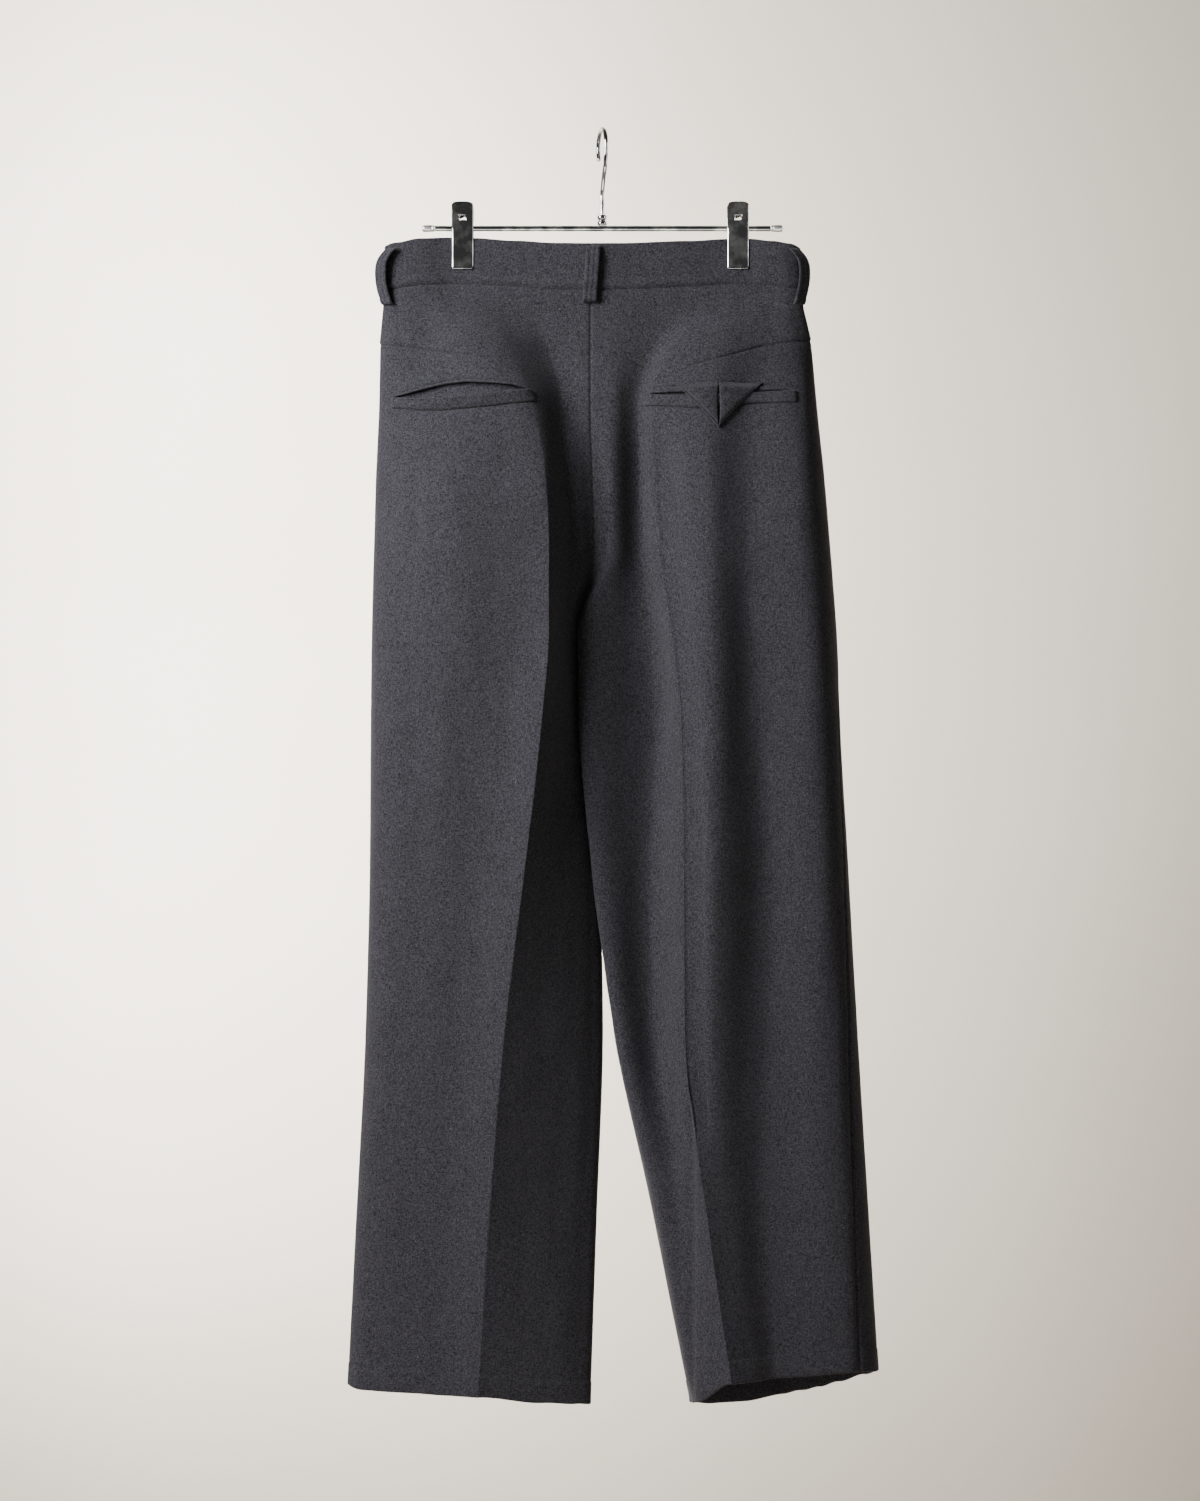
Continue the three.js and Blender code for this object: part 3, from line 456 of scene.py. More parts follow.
# Wool cloth
# A milled charcoal wool of about 520 g a square metre: short raised fibres, a fine mottled grain
# and a few pale fibres. The nap is matt, with a faint sheen at grazing angles.
wool, nodes, links, nap = start_material("charcoal milled wool")
nap.inputs["Roughness"].default_value = 0.95
nap.inputs["Specular IOR Level"].default_value = 0.15
nap.inputs["Sheen Weight"].default_value = 0.22
nap.inputs["Sheen Roughness"].default_value = 0.45
nap.inputs["Sheen Tint"].default_value = (0.62, 0.62, 0.66, 1)
place = nodes.new("ShaderNodeTexCoord").outputs["Object"]


def stretched_noise(scale, stretch, detail):
    """Noise on the piece's own coordinates, with grains longer along one axis."""
    squeezed = add_node("Mapping", {"Scale": stretch}, place).outputs["Vector"]
    noise = add_node("TexNoise", {"Scale": scale, "Detail": detail, "Roughness": 0.6}, squeezed)
    return noise.outputs["Fac"]


def blend_of(first, second, share):
    """Mix of two patterns, with a share of the second."""
    mix = add_node("Mix", {"Factor": share}, first, "A")
    links.new(second, mix.inputs["B"])
    return mix.outputs["Result"]


grain = stretched_noise(720, (1, 1, 1), 3)
warp_streaks = stretched_noise(600, (1.4, 1.4, 0.45), 2)
weft_streaks = stretched_noise(600, (0.45, 0.45, 1.5), 2)
cloudy = stretched_noise(60, (1, 1, 0.6), 2)
streaks = blend_of(warp_streaks, weft_streaks, 0.5)
nap_pattern = blend_of(blend_of(grain, streaks, 0.4), cloudy, 0.05)
nap_colour = colours_between(
    nap_pattern, 0.395, (0.0108, 0.0106, 0.0142), 0.615, (0.0575, 0.0564, 0.0695))
pale_fibre = stretched_noise(900, (1, 1, 0.45), 1)
fibre_mask = add_node("MapRange", {"From Min": 0.75, "From Max": 0.8}, pale_fibre, "Value")
with_fibres = nodes.new("ShaderNodeMix")
with_fibres.data_type = "RGBA"
links.new(fibre_mask.outputs["Result"], with_fibres.inputs["Factor"])
links.new(nap_colour, with_fibres.inputs[6])
with_fibres.inputs[7].default_value = (0.14, 0.136, 0.134, 1)
links.new(with_fibres.outputs[2], nap.inputs["Base Color"])
nap_bump = add_node(
    "Bump", {"Strength": 0.75, "Distance": 0.0007}, blend_of(grain, streaks, 0.5), "Height")
links.new(nap_bump.outputs["Normal"], nap.inputs["Normal"])

# Fold lines of the hanging cloth
# Each leg hangs in a few long folds. A fold line runs from the waist to the hem and is measured at
# the heights of LEVELS: x across, and depth behind the side seam's plane. The back has eight lines
# from the centre seam to the side fold, and the front has eight from the side fold to the centre.
LEVELS = np.array([-105, -150, -205, -260, -330, -400, -480, -560, -700, -860, -1040, -1215], float)
FORK_Z = -400
CROTCH_Z = -480
BACK_FOLDS = {
    "left": [
        {"line": "centre", "sharp": 0, "top": -108, "seam": -152.8, "hem": -1221.6,
         "x": [-11, -11, -11, -11, -9, -7, -20, -14.5, -3, 1, -5, -11],
         "depth": [8, 8, 10, 14, 18, 15, 0, 0, 0, 0, 0, 0]},
        {"line": "inner", "sharp": 0, "top": -107.6, "seam": -152.5, "hem": -1219.6,
         "x": [-45, -48, -33, -27, -21, -18, -26, -23, -13, -11, -18, -24],
         "depth": [7, 7, 7, 12, 23, 24, 14, 14, 14, 13, 12, 11]},
        {"line": "valley", "sharp": 0.2, "top": -105.3, "seam": -149.5, "hem": -1216.5,
         "x": [-83, -83, -55, -40, -35, -31, -34, -30, -29, -36, -51, -56],
         "depth": [5, 5, 6, 14, 30, 32, 28, 26, 28, 30, 28, 24]},
        {"line": "crease", "sharp": 1, "top": -102.5, "seam": -147.2, "hem": -1208.3,
         "x": [-124, -124, -92, -67, -54, -50, -50, -56, -72, -92, -107, -118],
         "depth": [3.6, 4, 26, 42, 55, 62, 67, 70, 68, 61, 51, 41]},
        {"line": "ridge", "sharp": 0, "top": -102, "seam": -147, "hem": -1208.2,
         "x": [-145, -145, -126, -101, -92, -85, -80, -88, -111, -130, -140, -149],
         "depth": [3.6, 4, 30, 45, 55, 60, 58, 56, 50, 44, 38, 31]},
        {"line": "dip", "sharp": 0, "top": -103.2, "seam": -148.5, "hem": -1206.8,
         "x": [-174, -174, -164, -154, -154, -153, -144, -154, -163, -173, -178, -183],
         "depth": [7, 7, 20, 34, 50, 56, 54, 48, 41, 36, 31, 26]},
        {"line": "outer", "sharp": 0, "top": -107, "seam": -151.5, "hem": -1205.3,
         "x": [-197, -197, -201, -201, -203, -204, -206, -208, -209, -213, -223, -231],
         "depth": [6, 7, 13, 19, 24, 27, 28, 28, 27, 24, 20, 16]},
        {"line": "side", "sharp": 0, "top": -110, "seam": -152.5, "hem": -1202.4,
         "x": [-208.5, -209.5, -213, -214, -217, -219, -221, -222, -223, -227, -236, -245],
         "depth": [0] * 12},
    ],
    "right": [
        {"line": "centre", "sharp": 0, "top": -108, "seam": -152.8, "hem": -1219.7,
         "x": [-11, -11, -11, -11, -9, -7, -20, -12.5, 0, 13, 49, 84],
         "depth": [8, 8, 10, 15, 18, 15, 0, 0, 0, 0, 0, 0]},
        {"line": "inner", "sharp": 0, "top": -107.8, "seam": -152.6, "hem": -1217,
         "x": [17, 17, 15, 12, 11, 12, -19, -19, -7.5, 16, 55, 84],
         "depth": [7, 7, 11, 17, 22, 21, 25, 28, 30, 29, 24, 18]},
        {"line": "valley", "sharp": 0.2, "top": -105.5, "seam": -149.5, "hem": -1213.8,
         "x": [84, 84, 51, 34, 35, 37, 45, 50, 46, 51, 76, 88],
         "depth": [5, 5, 8, 8, 7, 7, 9, 10, 13, 17, 31, 32]},
        {"line": "crease", "sharp": 1, "top": -103.4, "seam": -147.4, "hem": -1193,
         "x": [121, 121, 71, 48, 50, 55, 65, 74, 77, 78, 100, 126],
         "depth": [3.6, 4, 18, 22, 24, 28, 38, 43, 46, 49, 55, 58]},
        {"line": "ridge", "sharp": 0, "top": -103.2, "seam": -147, "hem": -1192.3,
         "x": [141, 141, 114, 99, 98, 99, 102, 104, 107, 108, 124, 147],
         "depth": [3.6, 4, 26, 38, 50, 56, 62, 62, 60, 54, 47, 47]},
        {"line": "dip", "sharp": 0, "top": -105.6, "seam": -148.6, "hem": -1190.8,
         "x": [163, 163, 155, 141, 138, 139, 143, 146, 155, 156, 158, 167],
         "depth": [6, 6, 20, 30, 40, 45, 46, 44, 39, 35, 33, 36]},
        {"line": "outer", "sharp": 0, "top": -108, "seam": -151, "hem": -1186,
         "x": [180, 180, 186, 191, 194, 199, 205, 209, 214, 221, 232, 244],
         "depth": [6, 7, 16, 28, 42, 48, 50, 49, 46, 42, 37, 30]},
        {"line": "side", "sharp": 0, "top": -112, "seam": -152, "hem": -1189,
         "x": [190.5, 191.5, 201, 206, 213, 219, 225, 228, 236, 245, 256, 267],
         "depth": [0] * 12},
    ],
}
# share is how far across the leg a front line lies, from 0 at the centre to 1 at the side
FRONT_FOLDS = [
    {"line": "outer", "sharp": 0, "hem": {"left": -1207, "right": -1196},
     "share": [0.94] * 12,
     "depth": [6, 7, 13, 19, 25, 29, 30, 30, 29, 27, 23, 19]},
    {"line": "pocket", "sharp": 0, "hem": {"left": -1210, "right": -1205},
     "share": [0.81, 0.81, 0.80, 0.80, 0.80, 0.80, 0.80, 0.80, 0.80, 0.80, 0.80, 0.80],
     "depth": [3.6, 4, 12, 22, 34, 42, 44, 44, 42, 39, 34, 30]},
    {"line": "second tuck", "sharp": 0.5, "hem": {"left": -1213, "right": -1211},
     "share": [0.64, 0.62, 0.61, 0.61, 0.62, 0.64, 0.66, 0.68, 0.70, 0.70, 0.70, 0.70],
     "depth": [3.6, 4, 18, 30, 43, 50, 52, 52, 50, 46, 40, 36]},
    {"line": "under second tuck", "sharp": 0.3, "hem": {"left": -1214, "right": -1215.5},
     "share": [0.55, 0.56, 0.55, 0.54, 0.54, 0.55, 0.57, 0.59, 0.61, 0.61, 0.61, 0.61],
     "depth": [3.6, 3.9, 10, 20, 35, 45, 50, 53, 53, 50, 46, 42]},
    {"line": "first tuck", "sharp": 0.6, "hem": {"left": -1215, "right": -1221},
     "share": [0.40, 0.40, 0.40, 0.40, 0.42, 0.44, 0.46, 0.48, 0.50, 0.50, 0.50, 0.50],
     "depth": [4.6, 8, 20, 32, 44, 52, 58, 62, 63, 60, 56, 52]},
    {"line": "under first tuck", "sharp": 0.3, "hem": {"left": -1216, "right": -1224},
     "share": [0.31, 0.33, 0.32, 0.31, 0.31, 0.31, 0.31, 0.31, 0.31, 0.31, 0.31, 0.31],
     "depth": [5, 4.6, 10, 19, 30, 37, 38, 38, 38, 37, 34, 31]},
    {"line": "fly", "sharp": 0, "hem": {"left": -1219, "right": -1223},
     "share": [0.15, 0.15, 0.15, 0.15, 0.14, 0.13, 0.12, 0.12, 0.12, 0.12, 0.12, 0.12],
     "depth": [6.5, 6.5, 10, 15, 21, 24, 18, 16, 15, 15, 14, 13]},
    {"line": "centre", "sharp": 0, "hem": {"left": -1221.6, "right": -1219.7},
     "share": [0] * 12,
     "depth": [7, 7, 9, 12, 15, 12, 0, 0, 0, 0, 0, 0]},
]
SIDE_LINE = 7
CENTRE_FRONT = 15
OUT = {"left": -1, "right": 1}
SEAM_GAP = 0.002
BACK_CREASE = 3


def smooth_curve(values, z):
    """Smooth curve through values at the falling heights of LEVELS, with no overshoot."""
    values = np.asarray(values, float)
    slopes = np.diff(values) / np.diff(LEVELS)
    product = slopes[:-1] * slopes[1:]
    total = np.where(product > 0, slopes[:-1] + slopes[1:], 1)
    tangents = np.concatenate([slopes[:1], np.where(product > 0, 2 * product / total, 0), slopes[-1:]])
    held = np.clip(z, LEVELS[-1], LEVELS[0])
    i = np.clip(np.searchsorted(-LEVELS, -held, side="right") - 1, 0, len(LEVELS) - 2)
    span = LEVELS[i + 1] - LEVELS[i]
    t = (held - LEVELS[i]) / span
    ease = t * t * (3 - 2 * t)
    lean = tangents[i] * span * t * (1 - t) ** 2 + tangents[i + 1] * span * t * t * (t - 1)
    return values[i] + (values[i + 1] - values[i]) * ease + lean


def smooth_step(start, stop, value):
    t = np.clip((value - start) / (stop - start), 0, 1)
    return t * t * (3 - 2 * t)


def fold_point(side, line, z):
    """x and y of one fold line at heights z."""
    back = BACK_FOLDS[side]
    if line <= SIDE_LINE:
        return np.stack([smooth_curve(back[line]["x"], z), -smooth_curve(back[line]["depth"], z)], -1)
    front = FRONT_FOLDS[line - SIDE_LINE - 1]
    centre = smooth_curve(back[0]["x"], z)
    reach = smooth_curve(back[-1]["x"], z) - centre
    x = centre + reach * smooth_curve(front["share"], z)
    return np.stack([x, smooth_curve(front["depth"], z)], -1)


def groove(distance, width):
    """Share of its depth that a soft groove or ridge has at a distance from its middle."""
    return np.exp(-(distance / width) ** 2)


def unit(vectors):
    return vectors / np.maximum(np.linalg.norm(vectors, axis=-1, keepdims=True), 1e-9)


def run_direction(side, line, z, after):
    """Direction of the cloth's run at a fold line, just before or just after it."""
    out = OUT[side]
    joined = smooth_step(CROTCH_Z, FORK_Z, z)
    if line == 0:
        return unit(np.stack([out * joined, joined - 1], -1))
    if line == CENTRE_FRONT:
        return unit(np.stack([-out * joined, joined - 1], -1))
    if line == SIDE_LINE:
        return np.stack([np.zeros_like(z), np.ones_like(z)], -1)
    before, here, following = (fold_point(side, line + step, z) for step in (-1, 0, 1))
    smooth = unit(following - before)
    straight = unit(following - here) if after else unit(here - before)
    sharp = (BACK_FOLDS[side] + FRONT_FOLDS)[line]["sharp"]
    if line == BACK_CREASE:
        sharp = (0.15 + 0.85 * smooth_step(-270, -420, z))[:, None]
    return unit(smooth + (straight - smooth) * sharp)


def cloth_section(side, run, z):
    """x and y of the cloth's outer face at a place along its run, at heights z."""
    line = min(CENTRE_FRONT - 1, int(run))
    t = run - line
    start, stop = fold_point(side, line, z), fold_point(side, line + 1, z)
    reach = np.linalg.norm(stop - start, axis=-1, keepdims=True)
    leave = run_direction(side, line, z, True) * reach
    arrive = run_direction(side, line + 1, z, False) * reach
    return (start + (stop - start) * t * t * (3 - 2 * t)
            + leave * t * (1 - t) ** 2 + arrive * t * t * (t - 1))


def edge_height(side, run, edge):
    """Height of the waistband's top, the waist seam or the hem at a place along the run."""

    def at_line(line):
        back = BACK_FOLDS[side]
        if line <= SIDE_LINE:
            return back[line][edge]
        front = FRONT_FOLDS[line - SIDE_LINE - 1]
        if edge == "hem":
            return front["hem"][side]
        share = front["share"][0]
        clip_lift = 5.5 * math.exp(-(((share - 0.66) / 0.2) ** 2))
        return back[0][edge] + (back[-1][edge] - back[0][edge]) * share + clip_lift

    line = min(CENTRE_FRONT - 1, int(run))
    t = run - line
    return at_line(line) + (at_line(line + 1) - at_line(line)) * t * t * (3 - 2 * t)


def seen_from_eye(points):
    """Places in the picture's plane through the hanger where the camera sees these points (mm)."""
    nearer = 1 + points[..., 1] / (-eye.y / MM)
    seen_x = eye.x / MM + (points[..., 0] - eye.x / MM) / nearer
    seen_z = eye.z / MM + (points[..., 2] - eye.z / MM) / nearer
    return seen_x, seen_z


def height_on_line(side, run, drawn_line):
    """Height at which a column of cloth crosses a line drawn in the picture's plane."""
    xs, zs = np.array(drawn_line, float).T
    z = float(zs.mean())
    for _ in range(6):
        x, y = cloth_section(side, run, np.array([z]))[0]
        nearer = 1 + y / (-eye.y / MM)
        seen_x = eye.x / MM + (x - eye.x / MM) / nearer
        z = eye.z / MM + (float(np.interp(seen_x, xs, zs)) - eye.z / MM) * nearer
    return z


# Back panels
# One piece of cloth for the back of each leg, from the waist seam to the turned-up hem. A yoke seam
# crosses the hip, the pocket mouth is cut below it, and the edges roll into the seams.
CLOTH = 1.8
YOKE_SEAM = {
    "left": [(-230, -205), (-206, -205.4), (-186, -206.6), (-162, -210.7), (-139, -212.6),
             (-116, -215.5), (-104.6, -217.4), (0, -232)],
    "right": [(-20, -243), (57.6, -237.2), (75, -229.9), (88.3, -223.2), (121, -214.6),
              (153.6, -205.9), (184.3, -201.1), (199.7, -201.1), (240, -201)],
}
YOKE_SHOWS_TO = {"left": -112, "right": 66}
JET_SEAM = {
    "left": [(-230, -254.3), (-198.7, -252.6), (-173.8, -245.7), (-149.8, -240), (-129.6, -237.7),
             (-107.5, -238.7), (-85.4, -240.6), (-70.1, -244.9), (-60, -246.5), (0, -250)],
    "right": [(-20, -253), (44.2, -248.2), (71, -243.9), (92.2, -242.4), (123.8, -241.8),
              (147.8, -242.8), (163.2, -243.9), (182.4, -246.2), (240, -249)],
}
POCKET_LIP = {
    "left": [(-230, -256.5), (-198.7, -254.5), (-173.8, -247.9), (-149.8, -242.4), (-129.6, -240.1),
             (-107.5, -241.1), (-85.4, -242.8), (-70.1, -246.9), (-60, -248.5), (0, -252)],
    "right": [(-20, -256.2), (45.1, -251), (58, -250.5), (74.9, -249.5), (92, -249), (124, -248.6),
              (154, -248.8), (170, -248), (182.4, -247.6), (240, -251)],
}
WELT_TOP = {
    "left": [(-230, -258), (-198.7, -255.5), (-173.8, -257.2), (-155.5, -257.5), (-138.2, -255.8),
             (-118.1, -253), (-99.8, -250.8), (-70.1, -247.9), (-60, -249.8), (0, -253.5)],
    "right": [(-20, -257.4), (45.1, -251.7), (58, -253), (74.9, -253.5), (92, -252.4), (124, -251),
              (154, -250.3), (170, -249.2), (182.4, -248.3), (240, -252)],
}
WELT_BOTTOM = {
    "left": [(-230, -268), (-196.8, -265.4), (-173.8, -267.2), (-155.5, -267.4), (-129.6, -265.4),
             (-107.5, -263.3), (-85.4, -260.6), (-65.3, -258.7), (0, -262)],
    "right": [(-20, -266), (44.2, -263), (65.3, -263.5), (90.2, -265.4), (136.3, -261.6),
              (157.4, -260.4), (183.4, -259.7), (240, -262)],
}
POCKET_MOUTH = {"left": (-198, -71), "right": (45.5, 182)}
# The hem is turned up by this much, and its fold is rounded
HEM_TURN = 22
HEM_ROUND = 1.4
# The right leg's side fold ends at this height, and its outseam comes round to the back below it
OUTSEAM_TOP = -520
# Steps down the cloth between two guides, and whether the guide above and below has fine rows
BACK_ROWS = [("seam", 16, True), ("yoke", 8, True), ("jet", 4, False), ("lip", 1, False),
             ("welt top", 4, False), ("welt bottom", 226, True), ("hem turn", 7, True)]
FINE = (0.9, 2.2)


def cloth_rows(guides, plan):
    """Heights of all rows of a panel, from its guides (one height a column each)."""
    rows = []
    marks = {}
    for k, (name, steps, fine) in enumerate(plan):
        upper, lower = guides[k], guides[k + 1]
        marks[name] = len(rows)
        rows.append(upper)
        above = [upper - step for step in FINE] if fine else []
        below = [lower + step for step in reversed(FINE)] if fine else []
        start = above[-1] if fine else upper
        stop = below[0] if fine else lower
        rows.extend(above)
        for step in range(1, steps):
            rows.append(start + (stop - start) * step / steps)
        rows.extend(below)
    marks["hem"] = len(rows)
    rows.append(guides[-1])
    return np.array(rows), marks


def run_places(start, stop, pitch, z=-560):
    """Places along the run between two fold lines, about pitch apart and finer at both ends."""
    places = []
    for line in range(start, stop):
        side_gap = [
            np.linalg.norm(fold_point(side, line + 1, np.array([float(z)]))
                           - fold_point(side, line, np.array([float(z)])))
            for side in OUT
        ]
        steps = max(5, int(round(max(side_gap) * 1.15 / pitch)))
        if line == start:
            places += [line + share for share in (0, 0.02, 0.045, 0.08)]
            places += [line + share for share in np.linspace(0.13, 1, steps)[:-1]]
        elif line == stop - 1:
            places += [line + share for share in np.linspace(0, 0.87, 2 * steps)]
            places += [line + share for share in (0.92, 0.955, 0.98)]
        else:
            places += [line + step / steps for step in range(steps)]
    places.append(stop)
    if start < BACK_CREASE < stop:
        places += [BACK_CREASE + share for share in (-0.06, -0.03, -0.012, 0.012, 0.03, 0.06)]
    return sorted(places)


# Smaller folds: drawn line in the picture's plane, how wide and how high it stands, in mm
SOFT_FOLDS = {
    "left": [
        {"path": [(-92, -178), (-74, -215), (-60, -255)], "width": 13, "height": -1.2},
        {"path": [(-176, -330), (-182, -420), (-184, -520), (-186, -640)], "width": 9, "height": -1.0},
        {"path": [(-150, -480), (-150, -700), (-160, -900)], "width": 16, "height": 0.8},
    ],
    "right": [
        {"path": [(86, -930), (86, -1080), (86, -1240)], "width": 4, "height": -2.2},
        {"path": [(58, -300), (66, -400), (76, -480), (85, -560), (88, -700), (89, -860), (95, -960)],
         "width": 9, "height": -5},
        {"path": [(178, -300), (182, -420), (186, -540)], "width": 10, "height": -0.8},
    ],
}


def fold_relief(side, seen_x, seen_z):
    """How far the smaller folds lift the cloth."""
    lift = np.zeros_like(seen_x)
    for fold in SOFT_FOLDS[side]:
        path = np.array(fold["path"], float)
        order = np.argsort(path[:, 1])
        line_x = np.interp(seen_z, path[order, 1], path[order, 0])
        ends = smooth_step(path[:, 1].min() - 25, path[:, 1].min() + 25, seen_z)
        ends = ends * (1 - smooth_step(path[:, 1].max() - 25, path[:, 1].max() + 25, seen_z))
        lift += fold["height"] * ends * groove(seen_x - line_x, fold["width"])
    return lift


def slack(points):
    """Slight unevenness of hanging cloth, in mm."""
    x, z = points[..., 0], points[..., 2]
    return (0.35 * np.sin(x / 17 + z / 61 + 0.4) * np.sin(z / 43 - x / 90)
            + 0.22 * np.sin(x / 9.5 - z / 38 + 1.3) * np.sin(z / 23 + x / 31 + 2.1)
            + 0.16 * np.sin(x / 6.1 + z / 17 + 0.7) * np.sin(z / 13 - x / 15))


def cloth_faces(side, places, heights, relief, thickness, face):
    """Outer and inner grids and normals. relief(base, from_start, to_end) lifts the outer face."""
    out = OUT[side]
    base = np.empty(heights.shape + (3,))
    for column, run in enumerate(places):
        z = heights[:, column]
        base[:, column, :2] = cloth_section(side, run, z)
        base[:, column, 2] = z
    for column, run in ((0, places[0]), (-1, places[-1])):
        if run in (0, CENTRE_FRONT):
            base[:, column, 0] += out * SEAM_GAP
    across = unit(np.gradient(base, axis=1))
    down = unit(np.gradient(base, axis=0))
    normal = unit(np.cross(down, across)) * out
    for column, run in ((0, places[0]), (-1, places[-1])):
        if run in (0, SIDE_LINE, CENTRE_FRONT):
            along = run_direction(side, int(run), heights[:, column], True)
            normal[:, column] = np.stack([out * along[:, 1], -out * along[:, 0], 0 * along[:, 0]], -1)
    step = np.linalg.norm(np.diff(base[..., :2], axis=1), axis=-1)
    travelled = np.concatenate([np.zeros((len(heights), 1)), np.cumsum(step, axis=1)], axis=1)
    lift = relief(base, travelled, travelled[:, -1:] - travelled)
    outer = base + normal * lift[..., None]
    inner = base - normal * (thickness - np.minimum(lift, 0) * 0.3)[..., None]
    for grid in (outer, inner):
        if face == "back":
            grid[..., 1] = np.minimum(grid[..., 1], -SEAM_GAP)
        if face == "front":
            grid[..., 1] = np.maximum(grid[..., 1], SEAM_GAP)
    return outer, inner, normal


def rounded_edge(distance, radius):
    """How far a cloth edge rounds away at a distance from its end."""
    inside = np.clip(radius - distance, 0, radius)
    return radius - np.sqrt(np.clip(radius ** 2 - inside ** 2, 0, None))


def press_edges(lift, side, z, from_centre, from_side):
    """Roll the cloth into the centre seam, and over the side fold as far down as it reaches."""
    lift -= 1.1 * groove(from_centre, 1.5) * smooth_step(FORK_Z - 15, FORK_Z, z)
    fold_only = smooth_step(OUTSEAM_TOP - 40, OUTSEAM_TOP, z) if side == "right" else 1.0
    lift -= 0.9 * groove(from_side, 1.5) * fold_only


def turn_hem(lift, z, hem_turn, hem):
    """Thicken the turned-up hem, press its line of stitches and round its fold."""
    lift += 0.45 * smooth_step(hem_turn + 1.2, hem_turn - 1.0, z)
    lift -= 0.35 * groove(z - hem_turn, 1.0)
    lift -= rounded_edge(z - hem, HEM_ROUND)


back_panels = {}
for side in OUT:
    places = run_places(0, SIDE_LINE, 3.0)
    guides = [
        np.array([edge_height(side, run, "seam") - SEAM_GAP for run in places]),
        *[np.array([height_on_line(side, run, drawn[side]) for run in places])
          for drawn in (YOKE_SEAM, JET_SEAM, POCKET_LIP, WELT_TOP, WELT_BOTTOM)],
        np.array([edge_height(side, run, "hem") + HEM_TURN for run in places]),
        np.array([edge_height(side, run, "hem") for run in places]),
    ]
    heights, marks = cloth_rows(guides, BACK_ROWS)
    seam, yoke, jet, lip, _, welt_bottom, hem_turn, hem = guides

    def back_relief(base, from_centre, to_side):
        z = base[..., 2]
        seen_x, seen_z = seen_from_eye(base)
        lift = slack(base) * smooth_step(0, 25, seam - z) + fold_relief(side, seen_x, seen_z)
        lift *= smooth_step(0, 12, from_centre) * smooth_step(0, 12, to_side)
        press_edges(lift, side, z, from_centre, to_side)
        if side == "right":
            outseam = smooth_step(OUTSEAM_TOP, OUTSEAM_TOP - 80, z)
            from_seam = to_side - 25 - 13 * smooth_step(-546, -1100, z)
            lift -= 2.2 * groove(from_seam, 2.0) * outseam
            lift += 0.5 * smooth_step(0, 5, from_seam) * (1 - smooth_step(12, 22, from_seam)) * outseam
        lift -= 1.0 * groove(seam - z, 1.4)
        yoke_end = YOKE_SHOWS_TO[side]
        if side == "left":
            shown = 1 - smooth_step(yoke_end - 26, yoke_end + 1, seen_x)
        else:
            shown = smooth_step(yoke_end - 1, yoke_end + 26, seen_x)
        lift -= (1.6 if side == "left" else 1.0) * groove(z - yoke, 1.1) * shown
        lift += 1.0 * np.exp(-np.maximum(z - yoke, 0) / 9) * (z > yoke + 0.5) * shown
        mouth_from, mouth_to = POCKET_MOUTH[side]
        over_pocket = smooth_step(mouth_from - 8, mouth_from + 30, seen_x)
        over_pocket = over_pocket * (1 - smooth_step(mouth_to - 30, mouth_to + 8, seen_x))
        lip_stands = 1.7 if side == "left" else 0.9
        lift += lip_stands * over_pocket * groove(np.maximum(z - lip, 0), 9) * (z > lip - 0.01)
        lift -= (1.6 if side == "left" else 2.4) * groove(z - jet, 1.0) * over_pocket
        lift -= 0.9 * groove(z - welt_bottom, 1.1) * over_pocket
        turn_hem(lift, z, hem_turn, hem)
        return lift

    outer, inner, normal = cloth_faces(side, places, heights, back_relief, CLOTH, "back")
    turned_up = 1.3 * smooth_step(0, 1.5, hem_turn - heights)
    inner -= normal * (turned_up - rounded_edge(heights - hem, HEM_ROUND))[..., None]
    seen_x = seen_from_eye(outer)[0]
    mouth = np.zeros((heights.shape[0] - 1, len(places) - 1), bool)
    lip_x = (seen_x[marks["lip"], :-1] + seen_x[marks["lip"], 1:]) / 2
    mouth_from, mouth_to = POCKET_MOUTH[side]
    mouth[marks["lip"], (lip_x > mouth_from) & (lip_x < mouth_to)] = True
    panel = add_piece(f"back_{side}_cloth", *closed_sheet(outer, inner, mouth), wool)
    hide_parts(f"back_{side}_inner", f"back_{side}_outer")
    back_panels[side] = {"outer": outer, "normal": normal, "marks": marks, "seen_x": seen_x}

# Front panels
# The front of each leg has two tucks under the waistband, a pressed crease and the same hem.
front_panels = {}
FRONT_ROWS = [("seam", 210, True), ("hem turn", 6, True)]
for side in OUT:
    places = run_places(SIDE_LINE, CENTRE_FRONT, 4.6)
    guides = [
        np.array([edge_height(side, run, "seam") - SEAM_GAP for run in places]),
        np.array([edge_height(side, run, "hem") + HEM_TURN for run in places]),
        np.array([edge_height(side, run, "hem") for run in places]),
    ]
    heights, marks = cloth_rows(guides, FRONT_ROWS)
    seam, hem_turn, hem = guides

    def front_relief(base, from_side, to_centre):
        z = base[..., 2]
        lift = slack(base) * smooth_step(0, 25, seam - z)
        lift *= smooth_step(0, 12, from_side) * smooth_step(0, 12, to_centre)
        press_edges(lift, side, z, to_centre, from_side)
        lift -= 1.0 * groove(seam - z, 1.4)
        turn_hem(lift, z, hem_turn, hem)
        return lift

    outer, inner, normal = cloth_faces(side, places, heights, front_relief, CLOTH, "front")
    turned_up = 1.3 * smooth_step(0, 1.5, hem_turn - heights)
    inner -= normal * (turned_up - rounded_edge(heights - hem, HEM_ROUND))[..., None]
    panel = add_piece(f"front_{side}_cloth", *closed_sheet(outer, inner), wool)
    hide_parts(f"front_{side}_inner", f"front_{side}_outer")
    front_panels[side] = {"outer": outer}

